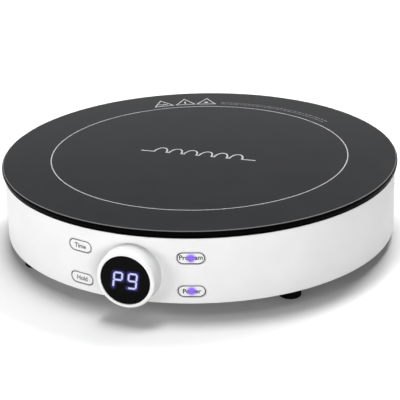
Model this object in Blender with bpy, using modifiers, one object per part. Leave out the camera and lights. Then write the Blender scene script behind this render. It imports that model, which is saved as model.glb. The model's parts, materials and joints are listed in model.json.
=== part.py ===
"""A round portable induction cooktop, as the separate pieces that it comes apart into.

Run it with: blender --background --python part.py
Metres, +Z up, standing on z = 0, front (knob side) towards -Y. The origin is the middle of the footprint's
bounding box. Everything is modelled about the body's own upright axis, which the empty "cooktop" places.
"""

import math

import bmesh
import bpy
from mathutils import Matrix, Vector

# Driving dimensions -------------------------------------------------------------------------------------
FOOT_HEIGHT = 0.007
BODY_HEIGHT = 0.051  # underside of the body to the top of the glass
BODY_RADIUS = 0.1395
WALL = 0.0025
GLASS_RADIUS = 0.141
GLASS_THICKNESS = 0.004
GLASS_FLAT_RADIUS = 0.140  # where the polished edge starts
KNOB_RADIUS = 0.0194  # at the front; the side widens towards the wall
KNOB_SKIRT = 0.0201
CONTROL_HEIGHT = 0.0204  # the knob's axis above the underside of the body
KNOB_FACE = 0.1534  # distance of the knob's front face from the body's axis
KEY_WIDTH = 0.0178
KEY_HEIGHT = 0.0084
KEY_PITCH = 0.0231  # between the two rows of keys
KEY_AZIMUTH = math.radians(15.7)
KEY_TRAVEL = 0.0008
FOOT_RADIUS = 0.0075
FOOT_CIRCLE = 0.129
GAP = 0.0003  # left between pieces that touch

# Levels that follow from them ---------------------------------------------------------------------------
FLOOR_Z = FOOT_HEIGHT
TOP_Z = FOOT_HEIGHT + BODY_HEIGHT
GLASS_Z = TOP_Z - GLASS_THICKNESS
WALL_TOP_Z = GLASS_Z - 0.0016
COVER_TOP_Z = FLOOR_Z + 0.0025
CONTROL_Z = FLOOR_Z + CONTROL_HEIGHT
INNER_RADIUS = BODY_RADIUS - WALL
COVER_RADIUS = INNER_RADIUS - 0.0004
AXIS_Y = (KNOB_FACE - GLASS_RADIUS) / 2  # centres the footprint's box on the origin
KEY_X = BODY_RADIUS * math.sin(KEY_AZIMUTH)
CONTROL_BOARD_FRONT = 0.1216
SWITCH_HEIGHT = 0.0034
SWITCH_OFFSET = 0.005  # how much nearer the middle than its key a switch stands
LAMP_HEIGHT = 0.0016
BOARD_Z = 0.015
BOARD_THICKNESS = 0.0016
PARTS_Z = BOARD_Z + BOARD_THICKNESS + GAP  # underside of what stands on the power board
FORMER_Z = 0.042
POST_RADIUS = 0.004
POST_CIRCLE = 0.101
FAN_CENTRE = (-0.055, 0.010)
FAN_SIZE = 0.080
FAN_Z = COVER_TOP_Z + GAP

# How finely round pieces are cut ------------------------------------------------------------------------
BODY_STEPS = 80
RING_STEPS = 56
KNOB_STEPS = 40
ROUND_STEPS = 32
SMALL_STEPS = 20
TINY_STEPS = 10
MERGE = 0.00001


# Materials ----------------------------------------------------------------------------------------------
def material(name, colour, roughness, metallic=0.0):
    """A Principled material, made once and found again by its name."""
    made = bpy.data.materials.get(name)
    if made is None:
        made = bpy.data.materials.new(name)
        made.use_nodes = True
        shader = made.node_tree.nodes["Principled BSDF"]
        shader.inputs["Base Color"].default_value = (*colour, 1.0)
        shader.inputs["Roughness"].default_value = roughness
        shader.inputs["Metallic"].default_value = metallic
    return made


def white_plastic():
    return material("white_plastic", (0.86, 0.86, 0.86), 0.35)


def black_plastic():
    return material("black_plastic", (0.01, 0.01, 0.01), 0.4)


def black_glass():
    return material("black_glass", (0.012, 0.012, 0.013), 0.08)


def black_rubber():
    return material("black_rubber", (0.015, 0.015, 0.015), 0.7)


def silicone():
    return material("silicone", (0.55, 0.55, 0.53), 0.6)


def green_board():
    return material("green_board", (0.02, 0.16, 0.07), 0.45)


def copper():
    return material("copper", (0.72, 0.32, 0.16), 0.35, 1.0)


def steel():
    return material("steel", (0.62, 0.62, 0.64), 0.3, 1.0)


def aluminium():
    return material("aluminium", (0.75, 0.75, 0.77), 0.4, 1.0)


def ferrite():
    return material("ferrite", (0.045, 0.045, 0.05), 0.6)


def mica():
    return material("mica", (0.70, 0.62, 0.45), 0.5)


def blue_case():
    return material("blue_case", (0.04, 0.16, 0.45), 0.4)


def white_wire():
    return material("white_wire", (0.80, 0.80, 0.78), 0.5)


def clear_ceramic():
    return material("led_body", (0.80, 0.80, 0.95), 0.3)


# Scene helpers ------------------------------------------------------------------------------------------
def clear_scene():
    for obj in list(bpy.data.objects):
        bpy.data.objects.remove(obj)


def collection(name):
    found = bpy.data.collections.get(name)
    if found is None:
        found = bpy.data.collections.new(name)
        bpy.context.scene.collection.children.link(found)
    return found


def empty(name, location=(0, 0, 0), rotation=(0, 0, 0), parent=None):
    made = bpy.data.objects.new(name, None)
    collection("induction_cooktop").objects.link(made)
    made.location = location
    made.rotation_euler = rotation
    made.parent = parent
    return made


def put(name, mesh, finish, parent, location=(0, 0, 0), rotation=(0, 0, 0)):
    """A piece of the cooktop: a mesh or a curve as a named object."""
    mesh.materials.clear()
    mesh.materials.append(finish)
    made = bpy.data.objects.new(name, mesh)
    collection("induction_cooktop").objects.link(made)
    made.parent = parent
    made.location = location
    made.rotation_euler = rotation
    return made


def helper(name, mesh, parent, location=(0, 0, 0), rotation=(0, 0, 0)):
    """A cutter or a shape to be joined on, left out of the render."""
    made = bpy.data.objects.new(name, mesh)
    collection("cutters").objects.link(made)
    made.parent = parent
    made.location = location
    made.rotation_euler = rotation
    made.hide_render = True
    made.display_type = "WIRE"
    return made


def boolean(obj, other, operation):
    made = obj.modifiers.new(f"{operation.lower()}_{other.name}", "BOOLEAN")
    made.operation = operation
    made.solver = "EXACT"
    made.object = other
    return obj


def join(obj, name, mesh, parent, location=(0, 0, 0), rotation=(0, 0, 0)):
    """Adds a shape, which overlaps the piece, to the piece."""
    return boolean(obj, helper(name, mesh, parent, location, rotation), "UNION")


def cut(obj, name, mesh, parent, location=(0, 0, 0), rotation=(0, 0, 0)):
    """Takes a shape away from the piece."""
    return boolean(obj, helper(name, mesh, parent, location, rotation), "DIFFERENCE")


def bevel(obj, width, segments=1):
    made = obj.modifiers.new("edges", "BEVEL")
    made.width = width
    made.segments = segments
    made.limit_method = "ANGLE"
    made.angle_limit = math.radians(40)
    return obj


# Shapes -------------------------------------------------------------------------------------------------
def turned(name, profile, steps, closed=True):
    """A mesh turned round Z from (radius, height) points that run down the outer side.

    An open profile starts and ends on the axis.
    """
    mesh = bpy.data.meshes.new(name)
    last = [(len(profile) - 1, 0)] if closed else []
    links = [(i, i + 1) for i in range(len(profile) - 1)] + last
    mesh.from_pydata([(r, 0, z) for r, z in profile], links, [])
    source = bpy.data.objects.new(name + "_profile", mesh)
    bpy.context.scene.collection.objects.link(source)
    screw = source.modifiers.new("turn", "SCREW")
    screw.axis = "Z"
    screw.angle = math.tau
    screw.steps = steps
    screw.render_steps = steps
    screw.use_merge_vertices = True
    screw.merge_threshold = MERGE
    return baked(source)


def baked(source):
    """The object's evaluated mesh, closed and facing out; the object is removed."""
    bpy.context.view_layer.update()
    graph = bpy.context.evaluated_depsgraph_get()
    mesh = bpy.data.meshes.new_from_object(source.evaluated_get(graph))
    bpy.data.objects.remove(source)
    work = bmesh.new()
    work.from_mesh(mesh)
    bmesh.ops.remove_doubles(work, verts=work.verts, dist=MERGE)
    bmesh.ops.recalc_face_normals(work, faces=work.faces)
    work.to_mesh(mesh)
    work.free()
    mesh.shade_smooth()
    mesh.set_sharp_from_angle(angle=math.radians(35))
    return mesh


def bars(name, boxes):
    """A mesh of boxes, each (centre, size, turn about Z); they don't touch each other."""
    work = bmesh.new()
    for centre, size, turn in boxes:
        place = Matrix.Translation(centre) @ Matrix.Rotation(turn, 4, "Z")
        bmesh.ops.create_cube(work, size=1.0, matrix=place @ Matrix.Diagonal((*size, 1.0)))
    return finished(name, work)


def box(name, size):
    return bars(name, [((0, 0, 0), size, 0.0)])


def rods(name, places, radius, depth, steps):
    """A mesh of upright cylinders of one size, centred on the places."""
    work = bmesh.new()
    for place in places:
        bmesh.ops.create_cone(
            work,
            cap_ends=True,
            segments=steps,
            radius1=radius,
            radius2=radius,
            depth=depth,
            matrix=Matrix.Translation(place),
        )
    return finished(name, work)


def finished(name, work):
    mesh = bpy.data.meshes.new(name)
    work.to_mesh(mesh)
    work.free()
    mesh.shade_smooth()
    mesh.set_sharp_from_angle(angle=math.radians(35))
    return mesh


def outline(name, points, thickness):
    """A flat outline in XY, extruded along Z by its thickness about z = 0."""
    curve = bpy.data.curves.new(name, "CURVE")
    curve.dimensions = "2D"
    curve.fill_mode = "BOTH"
    curve.extrude = thickness / 2
    line = curve.splines.new("POLY")
    line.points.add(len(points) - 1)
    for point, (x, y) in zip(line.points, points):
        point.co = (x, y, 0, 1)
    line.use_cyclic_u = True
    source = bpy.data.objects.new(name + "_outline", curve)
    bpy.context.scene.collection.objects.link(source)
    return baked(source)


def pill(name, width, height, depth):
    """A prism with round ends, facing along -Y, centred on the origin."""
    radius = height / 2
    reach = width / 2 - radius
    points = []
    for side in (1, -1):
        for step in range(7):
            angle = -math.pi / 2 + math.pi * step / 6
            points.append((side * (reach + radius * math.cos(angle)), side * radius * math.sin(angle)))
    mesh = outline(name, points, depth)
    mesh.transform(Matrix.Rotation(math.pi / 2, 4, "X"))
    return mesh


def wire(name, points, radius, sides=2):
    """A round wire through the points, as a curve with filled ends."""
    curve = bpy.data.curves.new(name, "CURVE")
    curve.dimensions = "3D"
    curve.bevel_depth = radius
    curve.bevel_resolution = sides
    curve.use_fill_caps = True
    line = curve.splines.new("POLY")
    line.points.add(len(points) - 1)
    for point, place in zip(line.points, points):
        point.co = (*place, 1)
    return curve


def smooth(points, steps):
    """Places read off one smooth curve through the points (Catmull-Rom), so many to each stretch."""
    ends = [points[0], *points, points[-1]]
    places = []
    for before, start, end, after in zip(ends, ends[1:], ends[2:], ends[3:]):
        p, q, r, s = (Vector(v) for v in (before, start, end, after))
        for step in range(steps):
            t = step / steps
            bend = (2 * p - 5 * q + 4 * r - s) * t * t + (3 * q - p - 3 * r + s) * t**3
            places.append((2 * q + (r - p) * t + bend) / 2)
    return places + [Vector(points[-1])]


def polar(radius, degrees, z=0.0):
    """A place round the body's axis; 0 degrees is the front and 90 the right."""
    angle = math.radians(degrees)
    return Vector((radius * math.sin(angle), -radius * math.cos(angle), z))


def wall_y(radius, x):
    """Where a round wall of that radius stands at x, on the front side."""
    return -math.sqrt(radius**2 - x**2)


# Shell --------------------------------------------------------------------------------------------------
COVER_SCREWS = [polar(0.1325, a) for a in (75, -75, 150, -150)]
POST_ANGLES = (180, 60, -60)
COIL_POSTS = [polar(POST_CIRCLE, a) for a in POST_ANGLES]
FOOT_PLACES = {
    "foot_front_left": polar(FOOT_CIRCLE, -45),
    "foot_front_right": polar(FOOT_CIRCLE, 45),
    "foot_rear_left": polar(FOOT_CIRCLE, -135),
    "foot_rear_right": polar(FOOT_CIRCLE, 135),
}
SCREW_BOSS_RADIUS = 0.0052
SCREW_BOSS_TOP = 0.044
THREAD_HOLE = 0.0016  # radius of a hole that a screw cuts its thread in
SCREW_LENGTH = 0.013
SEAT_RADIUS = 0.0193
SEAT_BORE = 0.0125
KNOB_HOLE = 0.0111
GLAND_HOLE = 0.0055
GLAND_Z = 0.020
KEYS = {
    "timer": (-KEY_X, CONTROL_Z + KEY_PITCH / 2),
    "lock": (-KEY_X, CONTROL_Z - KEY_PITCH / 2),
    "function": (KEY_X, CONTROL_Z + KEY_PITCH / 2),
    "power": (KEY_X, CONTROL_Z - KEY_PITCH / 2),
}


def housing(body):
    """The white wall: a drum with the knob's seat, holes for the knob and keys, and four screw bosses."""
    edge = 0.0004
    profile = [
        (BODY_RADIUS - edge, WALL_TOP_Z),
        (BODY_RADIUS, WALL_TOP_Z - edge),
        (BODY_RADIUS, FLOOR_Z + edge),
        (BODY_RADIUS - edge, FLOOR_Z),
        (INNER_RADIUS, FLOOR_Z),
        (INNER_RADIUS, WALL_TOP_Z),
    ]
    wall = put("housing", turned("housing", profile, BODY_STEPS), white_plastic(), body)
    seat_depth = KNOB_SEAT_FACE - INNER_RADIUS - GAP
    seat_profile = [(SEAT_RADIUS, seat_depth), (SEAT_RADIUS, 0), (SEAT_BORE, 0), (SEAT_BORE, seat_depth)]
    seat = turned("knob_seat", seat_profile, ROUND_STEPS)
    front = (math.pi / 2, 0, 0)
    seat_place = (0, -(INNER_RADIUS + GAP), CONTROL_Z)
    join(wall, "seat_join", seat, body, seat_place, front)
    boss_depth = SCREW_BOSS_TOP - COVER_TOP_Z - GAP
    places = [Vector((p.x, p.y, SCREW_BOSS_TOP - boss_depth / 2)) for p in COVER_SCREWS]
    bosses = rods("bosses", places, SCREW_BOSS_RADIUS, boss_depth, TINY_STEPS)
    join(wall, "boss_join", bosses, body)
    hole_places = [Vector((p.x, p.y, FLOOR_Z)) for p in COVER_SCREWS]
    holes = rods("boss_holes", hole_places, THREAD_HOLE, 2 * (SCREW_LENGTH + 0.004), TINY_STEPS)
    cut(wall, "boss_cut", holes, body)
    hole = rods("knob_hole", [(0, 0, BODY_RADIUS)], KNOB_HOLE, 0.03, ROUND_STEPS)
    cut(wall, "knob_cut", hole, body, (0, 0, CONTROL_Z), front)
    gland = rods("gland_hole", [(0, 0, -BODY_RADIUS)], GLAND_HOLE, 0.02, SMALL_STEPS)
    cut(wall, "gland_cut", gland, body, (0, 0, GLAND_Z), front)
    for key, (x, z) in KEYS.items():
        slot = pill(f"{key}_slot", KEY_WIDTH + 2 * GAP, KEY_HEIGHT + 2 * GAP, 0.02)
        cut(wall, f"{key}_cut", slot, body, (x, wall_y(BODY_RADIUS, x), z))
    return wall


def bottom_cover(body):
    """The disc that closes the drum, with its vents, the coil's posts and the board's stand-offs."""
    thickness = COVER_TOP_Z - FLOOR_Z
    edge = 0.0005
    disc = [
        (0, COVER_TOP_Z),
        (COVER_RADIUS, COVER_TOP_Z),
        (COVER_RADIUS, FLOOR_Z + edge),
        (COVER_RADIUS - edge, FLOOR_Z),
        (0, FLOOR_Z),
    ]
    mesh = turned("bottom_cover", disc, RING_STEPS, closed=False)
    cover = put("bottom_cover", mesh, white_plastic(), body)
    overlap = 0.001
    post_height = FORMER_Z - GAP - COVER_TOP_Z + overlap
    posts = [Vector((p.x, p.y, FORMER_Z - GAP - post_height / 2)) for p in COIL_POSTS]
    join(cover, "post_join", rods("posts", posts, POST_RADIUS, post_height, TINY_STEPS), body)
    stand_height = BOARD_Z - GAP - COVER_TOP_Z + overlap
    stands = [(x, y, BOARD_Z - GAP - stand_height / 2) for x in (0.013, 0.100) for y in (-0.027, 0.066)]
    stand_mesh = rods("stands", stands, 0.003, stand_height, TINY_STEPS)
    join(cover, "stand_join", stand_mesh, body)
    rib_height, rib_depth = 0.03, 0.003
    rib_place = COVER_TOP_Z + rib_height / 2 - overlap
    rib_y = -CONTROL_BOARD_FRONT + BOARD_THICKNESS + GAP + rib_depth / 2
    ribs = bars("ribs", [((x, rib_y, rib_place), (0.004, rib_depth, rib_height), 0) for x in (-0.05, 0.05)])
    join(cover, "rib_join", ribs, body)
    middle = FLOOR_Z + thickness / 2
    inlet_radius, vent_width, vent_pitch, through = 0.035, 0.004, 0.008, 0.02
    slots = []
    for row in range(-4, 5):
        offset = row * vent_pitch
        length = 2 * math.sqrt(inlet_radius**2 - offset**2)
        place = (FAN_CENTRE[0] + offset, FAN_CENTRE[1], middle)
        slots.append((place, (vent_width, length, through), 0))
    for degrees in (*range(130, 180, 10), *range(190, 250, 10)):
        size = (vent_width, 0.018, through)
        slots.append((polar(0.108, degrees, middle), size, math.radians(degrees)))
    cut(cover, "vent_cut", bars("vents", slots), body)
    screw_holes = [Vector((p.x, p.y, middle)) for p in COVER_SCREWS]
    cut(cover, "screw_cut", rods("screws", screw_holes, 0.0019, through, TINY_STEPS), body)
    foot_holes = [Vector((p.x, p.y, middle)) for p in FOOT_PLACES.values()]
    cut(cover, "foot_cut", rods("foot_holes", foot_holes, 0.0031, through, TINY_STEPS), body)
    pilot = [Vector((p.x, p.y, FORMER_Z - 0.004)) for p in COIL_POSTS]
    cut(cover, "pilot_cut", rods("pilots", pilot, THREAD_HOLE, 0.016, TINY_STEPS), body)
    return cover


def glass(body):
    """The round plate of black glass with a pencil edge, its frame and the silicone bead between them."""
    middle = GLASS_Z + GLASS_THICKNESS / 2
    edge_depth = GLASS_RADIUS - GLASS_FLAT_RADIUS
    half = GLASS_THICKNESS / 2
    rounded = []
    for step in range(5):
        angle = math.pi / 2 - math.pi * step / 4
        reach = GLASS_FLAT_RADIUS + edge_depth * math.cos(angle)
        rounded.append((reach, middle + half * math.sin(angle)))
    profile = [(0, TOP_Z), *rounded, (0, GLASS_Z)]
    put("glass_plate", turned("glass_plate", profile, BODY_STEPS, closed=False), black_glass(), body)
    lip_z = GLASS_Z - GAP
    shelf_z = lip_z - 0.0013
    shelf_under = shelf_z - 0.0012
    shelf_radius, bead_width = 0.120, 0.009
    ledge_radius = shelf_radius + bead_width + 0.003
    skirt_outer = INNER_RADIUS - 0.0006
    skirt_inner = skirt_outer - 0.0018
    skirt_z = 0.0462
    frame = [
        (GLASS_FLAT_RADIUS, lip_z),
        (GLASS_FLAT_RADIUS, WALL_TOP_Z + GAP),
        (skirt_outer, WALL_TOP_Z + GAP),
        (skirt_outer, skirt_z),
        (skirt_inner, skirt_z),
        (skirt_inner, shelf_under),
        (shelf_radius, shelf_under),
        (shelf_radius, shelf_z),
        (ledge_radius, shelf_z),
        (ledge_radius, lip_z),
    ]
    put("glass_frame", turned("glass_frame", frame, RING_STEPS), black_plastic(), body)
    bead_outer = ledge_radius - 0.001
    bead_inner = bead_outer - bead_width
    bead_under = shelf_z + GAP
    bead = [(bead_outer, lip_z), (bead_outer, bead_under), (bead_inner, bead_under), (bead_inner, lip_z)]
    put("glass_seal", turned("glass_seal", bead, RING_STEPS), silicone(), body)


def foot(name, place, body):
    """A push-in rubber foot: a rounded pad below the cover and a barbed stem through it."""
    top = FLOOR_Z - GAP
    rounding = 0.0012
    angles = (0, math.pi / 4, math.pi / 2)
    corner = [(FOOT_RADIUS - rounding * (1 - math.cos(a)), rounding * (1 - math.sin(a))) for a in angles]
    barb_z = COVER_TOP_Z + GAP
    tip_z = barb_z + 0.0024
    stem = [(0, tip_z), (0.0022, tip_z), (0.0038, barb_z), (0.0027, barb_z), (0.0027, top)]
    profile = [*stem, (FOOT_RADIUS, top), *corner, (0, 0)]
    put(name, turned(name, profile, SMALL_STEPS, closed=False), black_rubber(), body, place)


def screw(name, place, head_below, length, body):
    """A pan-head screw; its head is under the shank when head_below is set, else above it."""
    head, shank, head_depth = 0.0031, 0.0013, 0.0018
    profile = [
        (0, head_depth),
        (head - 0.0006, head_depth),
        (head, head_depth * 0.5),
        (head, 0),
        (shank, 0),
        (shank, -length),
        (0, -length),
    ]
    turn = (math.pi, 0, 0) if head_below else (0, 0, 0)
    put(name, turned(name, profile, TINY_STEPS, closed=False), steel(), body, place, turn)


# Knob and display ---------------------------------------------------------------------------------------
KNOB_SEAT_FACE = BODY_RADIUS + 0.0005
KNOB_BACK = KNOB_SEAT_FACE + 0.0004
KNOB_BORE = 0.01685
HUB_RADIUS = 0.0106
HUB_BORE = 0.0090
HUB_BACK = 0.127
ROTOR_RADIUS = 0.013
ROTOR_FRONT = 0.131
CUP_RADIUS = 0.0165
CUP_FRONT = 0.1516
WINDOW_RADIUS = 0.01655
WINDOW_BACK = CUP_FRONT + GAP
DISPLAY_FLOOR = 0.1429


def knob(knob_axis):
    """The turning ring with its hub, which carries the encoder's rotor behind the wall."""
    fillet = 0.0016
    steps = 3
    rounded = [
        (KNOB_RADIUS - fillet * (1 - math.sin(math.pi / 2 * i / steps)),
         KNOB_FACE - fillet * (1 - math.cos(math.pi / 2 * i / steps)))
        for i in range(steps + 1)
    ]
    web = DISPLAY_FLOOR - GAP
    profile = [
        *rounded,
        (KNOB_SKIRT, KNOB_BACK),
        (HUB_RADIUS, KNOB_BACK),
        (HUB_RADIUS, HUB_BACK),
        (HUB_BORE, HUB_BACK),
        (HUB_BORE, web),
        (KNOB_BORE, web),
        (KNOB_BORE, KNOB_FACE),
    ]
    put("knob_ring", turned("knob_ring", profile, KNOB_STEPS), white_plastic(), knob_axis)
    bore, back = HUB_RADIUS + GAP, ROTOR_FRONT - 0.0061
    rotor = [(ROTOR_RADIUS, ROTOR_FRONT), (ROTOR_RADIUS, back), (bore, back), (bore, ROTOR_FRONT)]
    put("encoder_rotor", turned("encoder_rotor", rotor, SMALL_STEPS), black_plastic(), knob_axis)


def display(controls):
    """What stays still inside the ring: the cup on its tube, the window, the digits and their board."""
    base = CONTROL_BOARD_FRONT + GAP
    tube, wall = HUB_BORE - 0.0004, 0.0016
    floor = DISPLAY_FLOOR + 0.0015
    cup = [
        (CUP_RADIUS, CUP_FRONT),
        (CUP_RADIUS, DISPLAY_FLOOR),
        (tube, DISPLAY_FLOOR),
        (tube, base),
        (tube - wall, base),
        (tube - wall, floor),
        (CUP_RADIUS - wall, floor),
        (CUP_RADIUS - wall, CUP_FRONT),
    ]
    put("display_barrel", turned("display_barrel", cup, ROUND_STEPS), black_plastic(), controls)
    front, edge = KNOB_FACE - 0.0001, 0.0003
    window = [
        (0, front),
        (WINDOW_RADIUS - edge, front),
        (WINDOW_RADIUS, front - edge),
        (WINDOW_RADIUS, WINDOW_BACK),
        (0, WINDOW_BACK),
    ]
    window_mesh = turned("display_window", window, ROUND_STEPS, closed=False)
    put("display_window", window_mesh, black_glass(), controls)
    board_depth, module_depth = 0.001, 0.005
    board_place = floor + GAP + board_depth / 2
    board = rods("display_board", [(0, 0, board_place)], CUP_RADIUS - wall - GAP, board_depth, SMALL_STEPS)
    put("display_board", board, green_board(), controls)
    module = box("display_module", (0.0215, 0.0145, module_depth))
    module_place = board_place + (board_depth + module_depth) / 2 + GAP
    put("display_module", module, black_plastic(), controls, (0, 0, module_place))
    ring_radius, ring_front = 0.016, ROTOR_FRONT + 0.0005
    rotor_bore = ROTOR_RADIUS + 0.0004
    housing_ring = [
        (ring_radius, ring_front),
        (ring_radius, base),
        (HUB_BORE, base),
        (HUB_BORE, base + 0.0025),
        (rotor_bore, base + 0.0025),
        (rotor_bore, ring_front),
    ]
    ring = turned("encoder_body", housing_ring, ROUND_STEPS)
    put("encoder_body", ring, steel(), controls)


# Keys ---------------------------------------------------------------------------------------------------
CAP_BACK = 0.1360  # distances from the body's axis
FLANGE_FRONT = 0.1365
FLANGE_BACK = 0.1352
FLANGE_WIDTH = KEY_WIDTH + 0.0038
FLANGE_HEIGHT = KEY_HEIGHT + 0.0016
STEM_WIDTH = 0.003


def key_shell(name, inner, outer, body):
    """A band of the drum between two radii, cut on the same facets as the wall."""
    profile = [(outer, 0.050), (outer, 0.009), (inner, 0.009), (inner, 0.050)]
    return helper(name, turned(name, profile, BODY_STEPS), body)


def key(name, x, z, cap_band, flange_band, body):
    """A key cap that follows the wall, its retaining flange and the stem that presses the switch."""
    inward = -math.copysign(SWITCH_OFFSET, x)
    centre = (x, wall_y(BODY_RADIUS, x), z)
    carrier = empty(f"{name}_key_travel", centre, parent=body)
    cap = put(f"{name}_key", pill(f"{name}_key", KEY_WIDTH, KEY_HEIGHT, 0.02), white_plastic(), carrier)
    boolean(cap, cap_band, "INTERSECT")
    flange = helper(f"{name}_flange", pill(f"{name}_flange", FLANGE_WIDTH, FLANGE_HEIGHT, 0.02), carrier)
    boolean(flange, flange_band, "INTERSECT")
    boolean(cap, flange, "UNION")
    stem_end = -(CONTROL_BOARD_FRONT + GAP + SWITCH_HEIGHT + KEY_TRAVEL + GAP)
    stem_start = wall_y(FLANGE_BACK, x + inward) - 0.0006
    stem = box(f"{name}_stem", (STEM_WIDTH, stem_end - stem_start, STEM_WIDTH))
    stem_place = (inward, (stem_end + stem_start) / 2 - centre[1], 0)
    join(cap, f"{name}_stem", stem, carrier, stem_place)


def switches(name, x, z, body):
    """The tact switch that a key presses, on the control board."""
    inward = -math.copysign(SWITCH_OFFSET, x)
    switch = box(f"{name}_switch", (0.006, SWITCH_HEIGHT, 0.006))
    place = (x + inward, -(CONTROL_BOARD_FRONT + GAP + SWITCH_HEIGHT / 2), z)
    put(f"{name}_switch", switch, black_plastic(), body, place)


def control_board(body):
    """The upright board behind the keys, with its switches and the lamps behind the right-hand keys."""
    board = box("control_board", (0.112, BOARD_THICKNESS, 0.034))
    place = (0, -CONTROL_BOARD_FRONT + BOARD_THICKNESS / 2, CONTROL_Z + 0.0008)
    put("control_board", board, green_board(), body, place)
    for name, (x, z) in KEYS.items():
        switches(name, x, z, body)
    for name in ("function", "power"):
        x, z = KEYS[name]
        lamp = box(f"{name}_lamp", (0.0032, LAMP_HEIGHT, 0.0028))
        lamp_y = -(CONTROL_BOARD_FRONT + GAP + LAMP_HEIGHT / 2)
        put(f"{name}_lamp", lamp, clear_ceramic(), body, (x, lamp_y, z))


# Heating ------------------------------------------------------------------------------------------------
COIL_INNER = 0.020
COIL_OUTER = 0.089
LEAD_RADIUS = 0.0011
INNER_LEAD = Vector((0.0185, 0, 0))
OUTER_LEAD = Vector((0.0850, -0.0311, 0))


def coil(body):
    """The winding on its tray, the ferrite bars below it and the mica disc above it."""
    base = FORMER_Z
    top = base + 0.003
    lip = base + 0.007
    tray = [
        (0.095, lip),
        (0.095, base),
        (0.014, base),
        (0.014, lip),
        (0.0170, lip),
        (0.0170, top),
        (0.0920, top),
        (0.0920, lip),
    ]
    former = put("coil_former", turned("coil_former", tray, ROUND_STEPS), black_plastic(), body)
    middle = (base + top) / 2
    ear_size = (0.012, 0.018, top - base)
    ears = [(polar(POST_CIRCLE - 0.002, a, middle), ear_size, math.radians(a)) for a in POST_ANGLES]
    join(former, "ear_join", bars("ears", ears), body)
    drills = [Vector((p.x, p.y, middle)) for p in (*COIL_POSTS, INNER_LEAD, OUTER_LEAD)]
    cut(former, "drill_cut", rods("drills", drills, 0.0017, 0.008, TINY_STEPS), body)
    winding = put("induction_coil", turned("induction_coil", turns(top + GAP), ROUND_STEPS), copper(), body)
    bar_depth = 0.004
    for number, degrees in enumerate((45, 135, 225, 315), start=1):
        bar = box(f"ferrite_bar_{number}", (0.012, 0.060, bar_depth))
        place = polar(0.058, degrees, base - GAP - bar_depth / 2)
        put(f"ferrite_bar_{number}", bar, ferrite(), body, place, (0, 0, math.radians(degrees)))
    outer, inner = 0.097, 0.008
    under = lip + GAP
    upper = under + 0.0005
    sheet = [(outer, upper), (outer, under), (inner, under), (inner, upper)]
    put("mica_sheet", turned("mica_sheet", sheet, ROUND_STEPS), mica(), body)
    return winding


def turns(base):
    """The winding's section: a flat base and one rounded ridge for every group of strands."""
    ridges = 5
    pitch = (COIL_OUTER - COIL_INNER) / ridges
    height, valley = 0.0036, 0.0028
    points = [
        (COIL_OUTER, base + valley),
        (COIL_OUTER, base),
        (COIL_INNER, base),
        (COIL_INNER, base + valley),
    ]
    for ridge in range(ridges):
        start = COIL_INNER + ridge * pitch
        points.append((start + 0.5 * pitch, base + height))
        if ridge < ridges - 1:
            points.append((start + pitch, base + valley))
    return points


def sensor(body):
    """The temperature sensor in its silicone plug, which holds it against the glass."""
    base = FORMER_Z
    plug = [
        (0.006, 0.0510),
        (0.006, 0.0462),
        (0.0136, 0.0462),
        (0.0136, base),
        (0.0030, base),
        (0.0030, 0.0468),
        (0.0040, 0.0468),
        (0.0040, 0.0510),
    ]
    put("thermistor_holder", turned("thermistor_holder", plug, SMALL_STEPS), silicone(), body)
    dome = [(0, 0.0537), (0.0020, 0.0535), (0.0034, 0.0524), (0.0036, 0.0510)]
    bead = [*dome, (0.0036, 0.0471), (0, 0.0471)]
    put("thermistor", turned("thermistor", bead, SMALL_STEPS, closed=False), steel(), body)


# Power electronics --------------------------------------------------------------------------------------
def on_board(name, x, y, size, finish, body, edge=0.0006):
    """A boxed component standing on the power board."""
    part = put(name, box(name, size), finish, body, (x, y, PARTS_Z + size[2] / 2))
    return bevel(part, edge) if edge else part


def fins(width, height, base, count):
    """The heat sink's section: a base with so many fins."""
    points = [(-width / 2, 0), (width / 2, 0)]
    fin = width / (2 * count - 1)
    for number in range(count):
        right = width / 2 - 2 * number * fin
        points += [(right, height), (right - fin, height)]
        if number < count - 1:
            points += [(right - fin, base), (right - 2 * fin, base)]
    return points


def electronics(body):
    """The power board and what stands on it."""
    board = box("power_board", (0.097, 0.104, BOARD_THICKNESS))
    put("power_board", board, green_board(), body, (0.0565, 0.0195, BOARD_Z + BOARD_THICKNESS / 2))
    package = 0.0047  # height of the two devices under the heat sink
    on_board("igbt", 0.029, 0.040, (0.016, 0.021, package), black_plastic(), body)
    on_board("bridge_rectifier", 0.058, 0.040, (0.028, 0.020, package), black_plastic(), body)
    on_board("resonant_capacitor", 0.088, 0.040, (0.022, 0.034, 0.018), blue_case(), body)
    on_board("smoothing_capacitor", 0.088, 0.000, (0.024, 0.026, 0.017), blue_case(), body)
    sink = outline("heat_sink", fins(0.040, 0.0142, 0.003, 9), 0.060)
    sink.transform(Matrix.Rotation(math.pi / 2, 4, "Z") @ Matrix.Rotation(math.pi / 2, 4, "X"))
    put("heat_sink", sink, aluminium(), body, (0.044, 0.040, PARTS_Z + package + GAP))
    ring, thickness = 0.011, 0.0045
    bpy.ops.mesh.primitive_torus_add(
        major_segments=20, minor_segments=8, major_radius=ring, minor_radius=thickness
    )
    torus = bpy.context.object
    choke_mesh = torus.data.copy()
    bpy.data.objects.remove(torus)
    put("filter_choke", choke_mesh, copper(), body, (0.055, -0.010, PARTS_Z + thickness))
    fuse = rods("fuse", [(0, 0, 0)], 0.0026, 0.020, TINY_STEPS)
    put("fuse", fuse, white_wire(), body, (0.026, 0.006, PARTS_Z + 0.0030), (math.pi / 2, 0, 0))
    buzzer = rods("buzzer", [(0, 0, 0)], 0.006, 0.008, SMALL_STEPS)
    put("buzzer", buzzer, black_plastic(), body, (0.095, -0.022, PARTS_Z + 0.004))


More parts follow.
